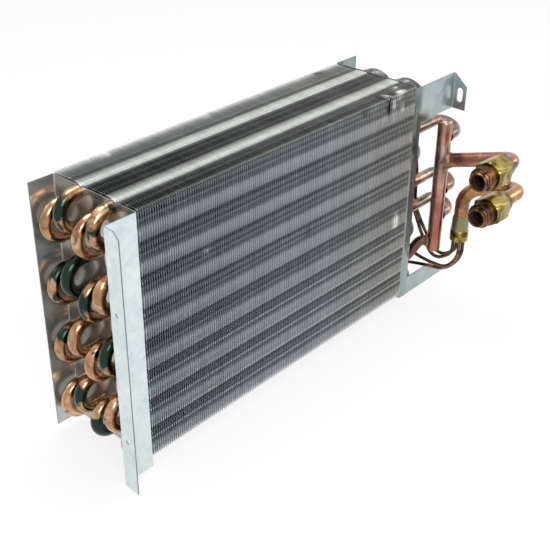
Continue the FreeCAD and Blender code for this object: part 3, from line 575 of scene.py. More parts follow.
def zinc(name, dull, bright, shade_tint, joints_at=None):
    """Hot-dip zinc, rolled smooth: faint crystals, cloudy patches and small marks.

    Behind the front flange, and up beside the joints, shade is painted into its colour.
    """
    made = bpy.data.materials.new(name)
    tree = cleared(made)
    place = add_node(tree, "TexCoord").outputs["Object"]
    crystals = add_node(tree, "TexVoronoi", {"Vector": place, "Scale": 1 / (CRYSTAL_WIDTH * MM)})
    patches = add_node(tree, "TexNoise", {"Vector": place, "Scale": 1 / (PATCH_WIDTH * MM), "Detail": 5.0})
    marks = add_node(tree, "TexNoise", {"Vector": place, "Scale": 1 / (MARK_WIDTH * MM), "Detail": 2.0})
    hue = add_node(tree, "SeparateColor", {0: crystals.outputs["Color"]})
    cloud = add_node(tree, "Math", {0: hue, 1: 0.3, 2: patches}, operation="MULTIPLY_ADD")
    clean = add_node(tree, "Mix", {0: cloud, 6: srgb(dull), 7: srgb(bright)}, data_type="RGBA")
    spot = add_node(tree, "SeparateXYZ", {0: place})
    # Painted shade behind the front flange, easing off towards the back flange.
    near, far = (distance * MM for distance in FLANGE_FADE)
    behind = add_node(tree, "MapRange", {
        0: spot.outputs["Y"], 1: fins_low.y + near, 2: fins_low.y + far, 3: 0.0, 4: 0.72})
    shade_eases = add_node(tree, "MapRange", {
        0: spot.outputs["Y"], 1: fins_high.y - far, 2: fins_high.y - near, 3: 1.0, 4: 0.55})
    painted_shade = add_node(tree, "Math", {0: behind, 1: shade_eases}, operation="MULTIPLY")
    if joints_at is not None:
        # Painted shade beside the joints, stronger higher up the sheet.
        offset = add_node(tree, "Math", {0: spot.outputs["X"], 1: joints_at}, operation="SUBTRACT")
        away = add_node(tree, "Math", {0: offset}, operation="ABSOLUTE")
        near, far = (distance * MM for distance in JOINT_FADE)
        thinned = add_node(tree, "MapRange", {0: away, 1: near, 2: far, 3: 1.0, 4: 0.0})
        foot, head = (fins_low.z + height * MM for height in JOINT_RISE)
        risen = add_node(tree, "MapRange", {0: spot.outputs["Z"], 1: foot, 2: head, 3: 0.3, 4: 1.0})
        beside = add_node(tree, "Math", {0: thinned, 1: risen}, operation="MULTIPLY")
        painted_shade = add_node(tree, "Math", {0: painted_shade, 1: beside}, operation="MAXIMUM")
    patchy = add_node(tree, "MapRange", {0: patches, 1: 0.3, 2: 0.6, 3: 0.55, 4: 1.2})
    amount = add_node(tree, "Math", {0: painted_shade, 1: patchy}, operation="MULTIPLY")
    tint = add_node(tree, "Mix", {0: amount, 6: clean, 7: srgb(shade_tint)}, data_type="RGBA")
    grit = add_node(tree, "MapRange", {0: marks, 3: 0.18, 4: 0.3})
    rough = add_node(tree, "Math", {0: amount, 1: -0.1, 2: grit}, operation="MULTIPLY_ADD")
    bump = add_node(tree, "Bump", {"Height": patches, "Strength": 0.25, "Distance": 0.8 * MM})
    metal = add_node(tree, "BsdfPrincipled", {
        "Base Color": tint, "Metallic": 0.82, "Roughness": rough, "Normal": bump})
    add_node(tree, "OutputMaterial", {"Surface": metal})
    return made


def clouded_metal(name, dark, bright, cloud_width, roughness, metallic=1.0):
    """Metal with soft clouds of a darker tint, their width in millimetres."""
    made = bpy.data.materials.new(name)
    tree = cleared(made)
    place = add_node(tree, "TexCoord").outputs["Object"]
    clouds = add_node(tree, "TexNoise", {
        "Vector": place, "Scale": 1 / (cloud_width * MM), "Detail": 3.0, "Distortion": 0.8})
    warm = add_node(tree, "MapRange", {0: clouds, 1: 0.36, 2: 0.64})
    tint = add_node(tree, "Mix", {0: warm, 6: srgb(dark), 7: srgb(bright)}, data_type="RGBA")
    metal = add_node(tree, "BsdfPrincipled", {
        "Base Color": tint, "Metallic": metallic, "Roughness": roughness})
    add_node(tree, "OutputMaterial", {"Surface": metal})
    return made


# Sheared steel shows along every cut edge as a thin darker line. The clean galvanised steel
# is pale and bluish, and painted brown between the flanges as shade.
cut_edge = clouded_metal("sheared steel edge", "#70797E", "#889298", 2.0, 0.5, 0.7)
bluish_zinc = zinc("bluish galvanised steel", "#BECACD", "#E2ECED", "#988474")

LEFT_FLANGE = 27.8
LEFT_BACK = 21.7
LEFT_LIP = 13.5
LEFT_TOP = 201.5
LIP_BOTTOM = -11.0
LIP_SLANT = 1.0
FLANGE_BOTTOM = -9.0
WEB_BOTTOM = -4.0
WEB_NOTCH = 2.0
LIP_TOP_CORNER = 5.0
LIP_HOLES = (33.3, 138.8)
LIP_HOLE_INSET = 6.3
LIP_HOLE_RADIUS = 1.6

left_line, left_end = folded_line((-LEFT_FLANGE, -LEFT_LIP), QUARTER, (
    (LEFT_LIP + SHEET, -QUARTER, OUTER_RADIUS),
    (LEFT_FLANGE - SHEET, QUARTER, INNER_RADIUS),
    (FIN_DEPTH - 2 * SHEET, QUARTER, INNER_RADIUS),
    (LEFT_BACK - SHEET, 0, 0),
))


def fold_left(distance, z, depth):
    """Fold a point of the left blank to its place on the core."""
    across = folded_place(left_line, distance, -depth)
    return across.x, across.y, z


flange_from, web_from = left_line[2][0], left_line[4][0]
left_outline = [
    (0.0, LIP_BOTTOM),
    (LEFT_LIP, LIP_BOTTOM + LIP_SLANT),
    (flange_from, FLANGE_BOTTOM),
    (web_from - INNER_RADIUS * QUARTER, FLANGE_BOTTOM),
    (web_from, FLANGE_BOTTOM + WEB_NOTCH),
    (web_from + SHEET, WEB_BOTTOM),
    (left_end, WEB_BOTTOM),
    (left_end, LEFT_TOP),
    (LIP_TOP_CORNER, LEFT_TOP),
    (0.0, LEFT_TOP - LIP_TOP_CORNER),
]
left_holes = [hole((LEFT_LIP - LIP_HOLE_INSET, z), LIP_HOLE_RADIUS) for z in LIP_HOLES]
left_holes += [hole((web_from + y - left_line[4][1].y, z), HOLE_RADIUS) for y, z in TUBES]
left_folds = fold_spans(left_line, LIP_BOTTOM, LEFT_TOP)
left_mesh = folded_sheet("left_sheet", left_outline, left_holes, left_folds, fold_left)
object_from("left_sheet", left_mesh, [bluish_zinc, cut_edge], "galvanised_sheet", "left_tube_sheet")

# Right tube sheet: the same steel, with a back flange and a narrow front flange that widens
# into two tabs. The upper tab's lip has a slot for a screw, and the lower tab is cut slanted.
RIGHT_TOP = 203.5
RIGHT_BOTTOM = -4.0
RIGHT_BACK = 27.3
RIGHT_FRONT = 10.0
UPPER_TAB = 59.0
UPPER_TAB_LOW, UPPER_TAB_HIGH = 168.8, 201.0
UPPER_LIP = 12.7
UPPER_LIP_SLANT = 11.0
LOWER_TAB_HIGH, LOWER_TAB_LOW = 14.0, -3.5
LOWER_TAB_SHORT, LOWER_TAB_LONG = 52.5, 80.0
SLOT_HEIGHT, SLOT_INSET, SLOT_RADIUS, SLOT_HALF = 181.8, 6.7, 3.0, 3.5
RIGHT_FOLDS = ((RIGHT_BACK, QUARTER, OUTER_RADIUS), (FIN_DEPTH, QUARTER, OUTER_RADIUS))
right_start = (FIN_LENGTH + RIGHT_BACK, FIN_DEPTH)
upper_line, upper_end = folded_line(right_start, math.pi, (
    *RIGHT_FOLDS, (UPPER_TAB - SHEET, -QUARTER, INNER_RADIUS), (UPPER_LIP, 0, 0)))
lower_line, _ = folded_line(right_start, math.pi, (*RIGHT_FOLDS, (LOWER_TAB_LONG, 0, 0)))


def fold_right(distance, z, depth):
    """Fold a point of the right blank, whose lip is folded only at the upper tab."""
    across = folded_place(upper_line if z > UPPER_TAB_LOW - SHEET else lower_line, distance, depth)
    return across.x, across.y, z


tab_from, lip_fold = lower_line[4][0], upper_line[5][0]
tab_zero = tab_from - (lower_line[4][1].x - FIN_LENGTH)
web_zero = lower_line[2][0] + lower_line[2][1].y
lip_zero = upper_line[6][0] + upper_line[6][1].y
right_outline = [
    (0.0, RIGHT_BOTTOM),
    (tab_from, RIGHT_BOTTOM),
    (tab_zero + LOWER_TAB_LONG, LOWER_TAB_LOW),
    (tab_zero + LOWER_TAB_SHORT, LOWER_TAB_HIGH),
    (tab_zero + RIGHT_FRONT, LOWER_TAB_HIGH),
    (tab_zero + RIGHT_FRONT, UPPER_TAB_LOW),
    (upper_end, UPPER_TAB_LOW),
    (upper_end, UPPER_TAB_HIGH - UPPER_LIP_SLANT),
    (lip_fold, UPPER_TAB_HIGH),
    (tab_from, UPPER_TAB_HIGH),
    (tab_from - 2 * OUTER_RADIUS, RIGHT_TOP),
    (0.0, RIGHT_TOP),
]
right_holes = [hole((lip_zero + SLOT_INSET, SLOT_HEIGHT), SLOT_RADIUS, SLOT_HALF)]
right_holes += [hole((web_zero - y, z), HOLE_RADIUS) for y, z in TUBES]
right_folds = fold_spans(lower_line, RIGHT_BOTTOM, RIGHT_TOP)
right_folds += fold_spans(upper_line[5:], UPPER_TAB_LOW, UPPER_TAB_HIGH)
right_mesh = folded_sheet("right_sheet", right_outline, right_holes, right_folds, fold_right)
# The same zinc, painted darker as shade, with greener painted shade that is darkest
# beside the brazed joints.
shaded_zinc = zinc("shaded galvanised steel", "#8E999B", "#B2BEC0", "#66706E", fins_high.x)
object_from("right_sheet", right_mesh, [shaded_zinc, cut_edge], "galvanised_sheet", "right_tube_sheet")

# Hairpins: 20 long copper tubes, drawn, cut and bent back on themselves. Their bends stand
# out on the left, where they are tinted gold by heat, with painted bottle-green reflections
# in places.
TUBE_RADIUS = 4.76
HAIRPIN_REACH = 22.5
TUBE_END = 313.7
PATTERN_STEP = 0.37
SHARP_EDGE = math.radians(38)


def arc_between(before, corner, after, radius, steps):
    """Points of the arc that rounds a corner."""
    back_way = (before - corner).normalized()
    ahead_way = (after - corner).normalized()
    half = back_way.angle(ahead_way) / 2
    centre = corner + (back_way + ahead_way).normalized() * radius / math.sin(half)
    start = corner + back_way * radius / math.tan(half) - centre
    end = corner + ahead_way * radius / math.tan(half) - centre
    axis = start.cross(end).normalized()
    swing = math.pi - 2 * half
    return [centre + Matrix.Rotation(swing * k / steps, 3, axis) @ start for k in range(steps + 1)]


def half_turn(start, finish, outward, turning, steps):
    """Points of a tube that runs outward, turns back and returns, in millimetres."""
    near = start + outward * (turning - start.dot(outward))
    far = finish + outward * (turning - finish.dot(outward))
    centre = (near + far) / 2
    spoke = near - centre
    turn = []
    for k in range(steps + 1):
        angle = math.pi * k / steps
        turn.append(centre + spoke * math.cos(angle) + outward * (spoke.length * math.sin(angle)))
    return [start] + turn + [finish]


def spokes(axis, side, sides):
    """Directions that stand out round an axis, the first of them to its side."""
    other = axis.cross(side)
    angles = [2 * math.pi * k / sides for k in range(sides)]
    return [side * math.cos(angle) + other * math.sin(angle) for angle in angles]


def skinned(rings, travelled, closed):
    """Skin over rings of points, whose faces know their place round and along it."""
    sides = len(rings[0])
    last = (len(rings) - 1) * sides
    faces, around_along = [], []
    for first, before, after in zip(range(0, last, sides), travelled, travelled[1:]):
        faces += ring_faces(first, sides)
        for k in range(sides):
            near, far = k / sides, (k + 1) / sides
            around_along.append(((near, before), (far, before), (far, after), (near, after)))
    if closed:
        faces += [tuple(reversed(range(sides))), tuple(range(last, last + sides))]
        around_along.append(tuple((k / sides, 0.0) for k in reversed(range(sides))))
        around_along.append(tuple((k / sides, travelled[-1]) for k in range(sides)))
    return [on_core(*point) for ring in rings for point in ring], faces, around_along


def swept(route, radius, sides):
    """Skin of a closed tube along a route."""
    ways = []
    for k in range(len(route)):
        way = Vector()
        for before, after in ((k - 1, k), (k, k + 1)):
            if before >= 0 and after < len(route):
                way += (route[after] - route[before]).normalized()
        ways.append(way.normalized())
    side = ways[0].orthogonal().normalized()
    if abs(ways[0].z) < 0.9:
        side = ways[0].cross(Vector((0, 0, 1))).normalized()
    rings, travelled = [], []
    for k, (spot, way) in enumerate(zip(route, ways)):
        side = (side - way * side.dot(way)).normalized()
        rings.append([spot + spoke * radius for spoke in spokes(way, side, sides)])
        travelled.append(travelled[-1] + (spot - route[k - 1]).length if k else 0.0)
    return skinned(rings, travelled, True)


def turned(foot, axis, stages, sides):
    """Skin of a piece turned about an axis, from stages of distance along it and radius."""
    ways = spokes(axis, axis.orthogonal().normalized(), sides)
    rings, travelled = [], []
    for k, (along, radius) in enumerate(stages):
        rings.append([foot + axis * along + way * radius for way in ways])
        travelled.append(travelled[-1] + math.dist(stages[k], stages[k - 1]) if k else 0.0)
    return skinned(rings, travelled, False)


# Painted reflections turn some bends bottle green: place of each one and its reach.
GREEN_REFLECTIONS = (
    (-15, 60, 190, 9), (-17, 28, 184, 8), (-15, 58.6, 137, 14), (-17, 41, 124, 8), (-16, 23, 88, 11),
    (-17, 41, 13, 10), (-14, 75, 80, 6), (-16, 61, 38, 7), (-14, 10, 60, 6),
)


def reflection_at(spot):
    """How strongly a point carries a painted green reflection, from 0 to 1."""
    place = (spot - fins_low) / MM
    return max(math.exp(-((place - Vector(stain_and_reflection[:3])).length / stain_and_reflection[3]) ** 2) for stain_and_reflection in GREEN_REFLECTIONS)


def joined(name, parts, material, slot, *nodes):
    """One object from skinned parts, each with its own stretch of pattern."""
    vertices, faces, places = [], [], []
    for index, (some, more, around_along) in enumerate(parts):
        first = len(vertices)
        vertices += some
        faces += [tuple(first + k for k in face) for face in more]
        places += [(u, v * MM + index * PATTERN_STEP) for face in around_along for u, v in face]
    mesh = bpy.data.meshes.new(name)
    mesh.from_pydata(vertices, [], faces)
    layer = mesh.uv_layers.new(name="around_along")
    layer.data.foreach_set("uv", [value for pair in places for value in pair])
    # Strength of the painted bottle-green reflections at each point.
    green_reflection = [reflection_at(vertex) for vertex in vertices]
    mesh.attributes.new("green_reflection", "FLOAT", "POINT").data.foreach_set("value", green_reflection)
    mesh.shade_smooth()
    mesh.set_sharp_from_angle(angle=SHARP_EDGE)
    object_from(name, mesh, [material], slot, *nodes)


# Nine draw marks round a tube and 60 in each metre of it, and widths of its patterns.
DRAW_MARKS = (9.0, 60.0, 1.0)
CLOUD_WIDTH = 15.4
FILM_WIDTH = 12.5
STAIN_AND_REFLECTION_WIDTH = 16.1
REFLECTION_SHARE = 0.6
RING_SHARE = 0.75


def copper(name, bright, dark, tarnish_and_reflection, tarnish_and_reflection_share, roughness, streak, rings=()):
    """Drawn copper under a film of oil: warm clouds, heat tint in patches and fine long marks.

    Rings of heat tint, where a torch has passed, and of painted highlight, are given as heights in
    millimetres and colours.
    """
    made = bpy.data.materials.new(name)
    tree = cleared(made)
    round_and_along = add_node(tree, "UVMap", uv_map="around_along")
    long_marks = add_node(tree, "Mapping", {"Vector": round_and_along, "Scale": DRAW_MARKS})
    marks = add_node(tree, "TexNoise", {"Vector": long_marks, "Scale": 1.0, "Detail": 4.0})
    place = add_node(tree, "TexCoord").outputs["Object"]
    clouds = add_node(tree, "TexNoise", {
        "Vector": place, "Scale": 1 / (CLOUD_WIDTH * MM), "Detail": 3.0, "Distortion": 0.8})
    films = add_node(tree, "TexNoise", {
        "Vector": place, "Scale": 1 / (FILM_WIDTH * MM), "Detail": 2.0, "Distortion": 1.6})
    stains_and_reflections = add_node(tree, "TexNoise", {
        "Vector": place, "Scale": 1 / (STAIN_AND_REFLECTION_WIDTH * MM), "Detail": 3.0, "Distortion": 1.0})
    warm = add_node(tree, "MapRange", {0: clouds, 1: 0.32, 2: 0.68})
    body = add_node(tree, "Mix", {0: warm, 6: srgb(dark), 7: srgb(bright)}, data_type="RGBA")
    if rings:
        rise = add_node(tree, "SeparateXYZ", {0: place})
        first, last = rings[0][0], rings[-1][0]
        share = add_node(tree, "MapRange", {
            0: rise.outputs["Z"], 1: fins_low.z + first * MM, 2: fins_low.z + last * MM})
        uneven = add_node(tree, "Math", {0: clouds, 1: 0.3, 2: -0.15}, operation="MULTIPLY_ADD")
        wavy = add_node(tree, "Math", {0: share, 1: uneven}, operation="ADD")
        heat_and_highlight = add_node(tree, "ValToRGB", {0: wavy})
        stops = [((height - first) / (last - first), srgb(colour)) for height, colour in rings]
        set_stops(heat_and_highlight.color_ramp, stops)
        body = add_node(tree, "Mix", {0: RING_SHARE, 6: body, 7: heat_and_highlight}, data_type="RGBA")
    film = add_node(tree, "MapRange", {0: films, 1: 0.45, 2: 0.72, 3: 0.0, 4: 0.6})
    tinted = add_node(tree, "Mix", {0: film, 6: body, 7: srgb(streak)}, data_type="RGBA")
    # Dark patches in the tarnish colour: tarnish on most tubes, painted green reflections on the hairpins.
    placed = add_node(tree, "Attribute", attribute_name="green_reflection")
    either = add_node(tree, "Math", {
        0: placed.outputs["Fac"], 1: REFLECTION_SHARE, 2: stains_and_reflections}, operation="MULTIPLY_ADD")
    low = 1 - tarnish_and_reflection_share
    stain_and_reflection = add_node(tree, "MapRange", {0: either, 1: low - 0.06, 2: low + 0.06})
    colour = add_node(tree, "Mix", {0: stain_and_reflection, 6: tinted, 7: srgb(tarnish_and_reflection)}, data_type="RGBA")
    rough = add_node(tree, "MapRange", {0: marks, 3: roughness - 0.06, 4: roughness + 0.1})
    metal = add_node(tree, "BsdfPrincipled", {
        "Base Color": colour, "Metallic": 1.0, "Roughness": rough,
        "Coat Weight": 0.5, "Coat Roughness": 0.1})
    add_node(tree, "OutputMaterial", {"Surface": metal})
    return made


# Bright drawn copper: a warm gloss between pale gold and brown, broken by painted bottle-green
# reflections.
bright_copper = copper("bright drawn copper", "#E2B48C", "#8C5A42", "#10271D", 0.36, 0.17, "#7C7448")
leftward = Vector((-1, 0, 0))
rightward = Vector((1, 0, 0))
upward = Vector((0, 0, 1))
turning = HAIRPIN_REACH - TUBE_RADIUS - TUBE_PITCH / 2
hairpins, hairpin_nodes = [], []
for row in range(ROWS):
    for pair in range(LEVELS // 2):
        y, z = tube_at(row, 2 * pair)
        start = Vector((TUBE_END, y, z))
        finish = Vector((TUBE_END, y, z + TUBE_PITCH))
        route = half_turn(start, finish, leftward, turning, steps=22)
        hairpins.append(swept(route, TUBE_RADIUS, sides=24))
        hairpin_nodes.append(f"hairpin_row{row + 1}_{pair + 1}")
joined("hairpins", hairpins, bright_copper, "copper", *hairpin_nodes)

# Return bends: 16 short U bends pushed into the tubes' belled ends on the right and brazed
# there with a torch, which leaves a dull grey-brown skin and a small ring of filler.
CIRCUITS = 4
RETURN_STUB = 6.5
BELL_STAGES = ((-4.8, 4.8), (-3.6, 5.35), (1.4, 5.4), (1.9, 5.25), (2.9, 4.7))
# Whether each circuit, from the lowest up, drains from the upper of its two levels.
DRAINS_HIGH = (True, True, False, False)
# Torch-dulled copper: scale hides most of the red, and it shines only softly.
tarnished_copper = copper("torch-dulled copper", "#A39C96", "#726D6A", "#4A4B4A", 0.48, 0.34, "#8A7470")


def drain_level(circuit):
    """Level of a circuit's end in the front row, where a feeder leaves it."""
    return 2 * circuit + (1 if DRAINS_HIGH[circuit] else 0)


def feed_level(circuit):
    """The other of a circuit's two levels, where its capillary enters the back row."""
    return 4 * circuit + 1 - drain_level(circuit)


bends, bend_nodes = [], []
for circuit in range(CIRCUITS):
    for row in range(ROWS - 1):
        level = feed_level(circuit) if row % 2 == 0 else drain_level(circuit)
        start = Vector((TUBE_END, *tube_at(row, level)))
        finish = Vector((TUBE_END, *tube_at(row + 1, level)))
        route = half_turn(start, finish, rightward, TUBE_END + RETURN_STUB, steps=18)
        bends.append(swept(route, TUBE_RADIUS, sides=20))
        bend_nodes.append(f"return_bend_{circuit + 1}_{row + 1}")
        for end in (start, finish):
            bends.append(turned(end, rightward, BELL_STAGES, sides=20))
joined("return_bends", bends, tarnished_copper, "copper", *bend_nodes)

# Suction header: an upright copper tube with pinched caps. Four feeders and the suction pipe
# are brazed to it, and the heat has turned it red, pink and grey.
PIPE_RADIUS = 6.35
HEADER_X, HEADER_Y = FIN_LENGTH + 29.3, -13.0
CAP_STAGES = ((0.0, PIPE_RADIUS), (1.6, 5.8), (2.7, 4.6), (3.0, 3.6), (3.0, 0.05))
header_low, header_high = ((corner.z - fins_low.z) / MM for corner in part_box("suction_header"))
# Fire-stained copper: orange at the foot, then crimson, pale pink, grey scale and pink again.
# The pale pink rings are partly heat tint and partly a painted highlight.
HEAT_AND_HIGHLIGHT_RINGS = (
    (44.0, "#B47B50"), (54.0, "#A8543F"), (72.0, "#9C3F3E"), (92.0, "#A85A4E"), (108.0, "#C9968A"),
    (120.0, "#A87A6E"), (127.0, "#6C625C"), (138.0, "#706A66"), (146.0, "#D3B6AE"), (156.0, "#B76E54"),
    (164.0, "#8F7468"),
)
red_copper = copper(
    "fire-stained copper", "#DDB2A0", "#8F5046", "#6A5F50", 0.34, 0.28, "#9A7466", HEAT_AND_HIGHLIGHT_RINGS)
header_axis = Vector((HEADER_X, HEADER_Y, 0))
header_stages = [(header_low - rise, radius) for rise, radius in reversed(CAP_STAGES)]
header_stages += [(header_high + rise, radius) for rise, radius in CAP_STAGES]
joined("suction_header_tube", [turned(header_axis, upward, header_stages, sides=32)], red_copper, "copper",
       "suction_header", "header_cap_lower", "header_cap_upper")

# Feeders: three hooks run out past the header, turn back and enter it from behind. The
# lowest one turns up to it. A fillet of braze alloy closes each joint.
HOOK_REACH = 43.3
HOOK_DROP = 6.0
SINK = 3.0
LOWEST_TURN = 17.0
LOWEST_RISE = 18.5
LOWEST_RUN = 12.5
LOWEST_BEND = 8.0
FILLET_STAGES = ((-1.5, 6.0), (0.2, 5.9), (1.2, 5.2), (2.6, 4.7))
feeders, fillets = [], []
for circuit in range(CIRCUITS):
    outlet = Vector((TUBE_END, *tube_at(0, drain_level(circuit))))
    if circuit:
        finish = Vector((HEADER_X + SINK, HEADER_Y, outlet.z - HOOK_DROP))
        route = half_turn(outlet, finish, rightward, FIN_LENGTH + HOOK_REACH, steps=20)
        entry = Vector((HEADER_X + PIPE_RADIUS, HEADER_Y, outlet.z - HOOK_DROP))
        fillets.append(turned(entry, rightward, FILLET_STAGES, sides=20))
    else:
        turn_up = Vector((FIN_LENGTH + LOWEST_TURN, outlet.y, outlet.z))
        inward = (Vector((HEADER_X, HEADER_Y)) - turn_up.xy).normalized().to_3d()
        aim = header_axis + upward * (outlet.z + LOWEST_RISE)
        turn_in = aim - inward * LOWEST_RUN
        end = aim - inward * SINK
        first_arc = arc_between(outlet, turn_up, turn_in, LOWEST_BEND, steps=8)
        second_arc = arc_between(turn_up, turn_in, end, LOWEST_BEND, steps=8)
        route = [outlet] + first_arc + second_arc + [end]
        entry = aim - inward * PIPE_RADIUS
        fillets.append(turned(entry, -inward, FILLET_STAGES, sides=20))
    feeders.append(swept(route, TUBE_RADIUS, sides=20))
# Flux-greyed copper: rosy metal under a thin grey glaze of burnt flux.
fluxed_copper = copper("flux-greyed copper", "#C09484", "#704840", "#63655A", 0.46, 0.3, "#7E6E5C")
joined("feeder_tubes", feeders[1:], fluxed_copper, "copper", "feeder_2", "feeder_3", "feeder_4")
# The lowest feeder was heated longest and is scorched brown.
scorched_copper = copper("scorched copper", "#8E6247", "#5A3A2C", "#6E4238", 0.45, 0.26, "#6B5A38")
joined("lowest_feeder", feeders[:1], scorched_copper, "copper", "feeder_1")

# Line pipes: copper tube bent cold. The suction pipe leaves the header through a saddle, and
# the liquid pipe rises from the distributor. Both turn left at the front into their fittings.
FITTING_Y = -78.0
FITTING_LENGTH = 45.0
SADDLE_HEIGHT = 131.0
ELBOW_RADIUS = 10.0
LIQUID_BEND_RADIUS = 16.0
# Pipe copper: the red-brown of handled tube, with a satin gloss.
pipe_copper = copper("pipe copper", "#BC8166", "#704336", "#5A4034", 0.38, 0.24, "#8F563E")
suction_tip = Vector((FIN_LENGTH - 20.1, FITTING_Y, 147.5))
suction_corner = Vector((FIN_LENGTH + 43.7, FITTING_Y, suction_tip.z))
suction_start = header_axis + upward * SADDLE_HEIGHT
suction_end = suction_tip + rightward * FITTING_LENGTH
suction_elbow = arc_between(suction_start, suction_corner, suction_end, ELBOW_RADIUS, steps=14)
suction_route = [suction_start, *suction_elbow, suction_end]
joined("suction_line", [swept(suction_route, PIPE_RADIUS, sides=28)], pipe_copper, "copper", "suction_pipe")

LIQUID_UPRIGHT = Vector((FIN_LENGTH + 38.3, -33.3, 0))
liquid_foot = LIQUID_UPRIGHT + upward * 79.0
liquid_top = LIQUID_UPRIGHT + upward * 105.7
liquid_tip = Vector((FIN_LENGTH - 15.4, FITTING_Y, 113.3))
liquid_corner = Vector((FIN_LENGTH + 65.0, FITTING_Y, liquid_tip.z))
liquid_end = liquid_tip + rightward * FITTING_LENGTH
liquid_bend = arc_between(liquid_foot, liquid_top, liquid_corner, LIQUID_BEND_RADIUS, steps=14)
liquid_elbow = arc_between(liquid_top, liquid_corner, liquid_end, ELBOW_RADIUS, steps=14)
liquid_route = [liquid_foot, *liquid_bend, *liquid_elbow, liquid_end]
# Heat-gilded copper: the same tube, turned golden by the heat of brazing.
gilded_copper = copper("heat-gilded pipe copper", "#C4925F", "#84533A", "#7A5438", 0.38, 0.24, "#98593E")
joined("liquid_line", [swept(liquid_route, PIPE_RADIUS, sides=28)], gilded_copper, "copper", "liquid_pipe")

# Flare fittings: turned from brass bar, with a cone, a thread 7 mm long, a hexagon with
# chamfered corners and a sleeve brazed to the pipe. The torch has reddened one nose, and the
# other is a darker brown.
HEX_FLATS = 23.5
HEX_SIDES = 48
HEX_START, HEX_LENGTH = 15.0, 20.0
HEX_CHAMFER = 1.1
# Radius at the hexagon's ends, where its corners are turned down.
HEX_CUT = 0.51 * HEX_FLATS
THREAD_START = 5.0
THREAD_PITCH = 1.85
THREAD_TURNS = 4
ROOT_RADIUS, CREST_RADIUS = 8.8, 10.4
# Each stage: distance behind the mouth and radius there.
BORE_STAGES = (
    (14.0, 0.05), (14.0, 4.6), (9.0, 4.8), (9.0, 5.6), (4.6, 5.8), (4.4, 6.2), (0.8, 6.2), (0.2, 6.6))
CONE_STAGES = (
    (0.2, 6.5), (0.0, 6.8), (0.0, 7.6), (0.5, 8.0), (1.7, 8.2), (1.9, 7.8), (2.6, 7.9), (2.8, 8.6),
    (4.4, 9.0))
THREAD_STAGES = ((0.0, ROOT_RADIUS), (0.55, CREST_RADIUS), (0.95, CREST_RADIUS), (1.5, ROOT_RADIUS))
NECK_STAGES = ((12.4, 9.2), (12.4, 7.0))
BODY_STAGES = (
    (12.3, 7.0), (12.3, 9.3), (15.2, 9.3), (35.0, 9.3), (35.2, 8.9), (44.0, 8.9), (45.0, 8.2), (45.0, 6.0))


def hexagon(start, length):
    """Six-sided nut with its corners turned down at both ends."""
    stages = (
        (0.0, HEX_CUT), (HEX_CHAMFER, HEX_FLATS), (length - HEX_CHAMFER, HEX_FLATS), (length, HEX_CUT))
    rings = []
    for x, cap in stages:
        ring = []
        for k, way in enumerate(spokes(rightward, upward, HEX_SIDES)):
            off = 2 * math.pi * k / HEX_SIDES % (math.pi / 3) - math.pi / 6
            ring.append(start + rightward * x + way * min(HEX_FLATS / 2 / math.cos(off), cap))
        rings.append(ring)
    return skinned(rings, [x for x, _ in stages], True)


def flare_fitting(name, node, tip, nose_brass):
    """Build one fitting: a nose with its thread, its dark bore and the body behind."""
    thread = []
    for turn in range(THREAD_TURNS):
        start = THREAD_START + turn * THREAD_PITCH
        thread += [(start + along, radius) for along, radius in THREAD_STAGES]
    nose_stages = (*CONE_STAGES, *thread, *NECK_STAGES)
    bore, nose, body = (
        turned(tip, rightward, stages, sides=40) for stages in (BORE_STAGES, nose_stages, BODY_STAGES))
    joined(name + "_bore", [bore], dark_bore_brass, "brass")
    joined(name + "_nose", [nose], nose_brass, "brass")
    joined(name, [body, hexagon(tip + rightward * HEX_START, HEX_LENGTH)], brass, "brass", node)


# Free-cutting brass, turned smooth: a clear yellow gloss with dark olive clouds of painted reflection.
brass = clouded_metal("turned brass", "#54451A", "#B7A05C", 14.3, 0.22)
# Torch-reddened brass: zinc has burnt out of the skin, which leaves it copper red.
reddened_brass = copper("torch-reddened brass", "#AE744E", "#4C2A1A", "#2C1A14", 0.4, 0.22, "#6C4A28")
# Darker brass for the liquid fitting's nose: a deep brown.
darker_nose_brass = copper("darker nose brass", "#8C5630", "#3A2112", "#20130C", 0.42, 0.24, "#563A1E")
# Inside the bores: a dark matt brown that still shows the step inside.
dark_bore_brass = clouded_metal("dark bore brass", "#2E1811", "#4A2A1F", 2.5, 0.55, 0.25)
flare_fitting("suction_flare_fitting", "suction_fitting", suction_tip, reddened_brass)
flare_fitting("liquid_flare_fitting", "liquid_fitting", liquid_tip, darker_nose_brass)

# Distributor: a turned brass body brazed under the liquid pipe, with four drilled outlets
# for the capillaries. Flux has left its sleeve greenish grey.
DISTRIBUTOR_FOOT = 56.0
DISTRIBUTOR_STAGES = (
    (DISTRIBUTOR_FOOT, 0.05), (DISTRIBUTOR_FOOT, 7.4), (56.8, 8.2), (66.0, 8.2), (66.6, 7.8), (67.0, 7.6))
SLEEVE_STAGES = ((66.8, 7.9), (67.4, 8.0), (72.0, 7.7), (78.0, 7.3), (79.6, 6.9), (80.8, 6.2))
distributor_body = turned(LIQUID_UPRIGHT, upward, DISTRIBUTOR_STAGES, sides=32)
joined("distributor_body", [distributor_body], brass, "brass", "distributor")
# Flux-greyed brass: a dull grey-green film with a little brass showing through.
greyed_brass = copper("flux-greyed brass", "#93A093", "#66705E", "#8A7F58", 0.47, 0.34, "#8F8A62")
joined("distributor_sleeve", [turned(LIQUID_UPRIGHT, upward, SLEEVE_STAGES, sides=32)], greyed_brass, "brass")

# Capillaries: four copper tubes 3.2 mm thick from the distributor to the back row's inlets.
# Each ends in a ferrule that is swaged down from the coil tube.
CAPILLARY_RADIUS = 1.6
CURVE_SHARE = 0.45
OUTLET_RING = 4.6
INLET_RUN = 23.0
FERRULE_END = 9.0
FERRULE_STAGES = ((0.0, 4.76), (2.0, 4.7), (7.0, 2.7), (9.0, 2.3), (9.4, 1.9), (9.4, 1.5))
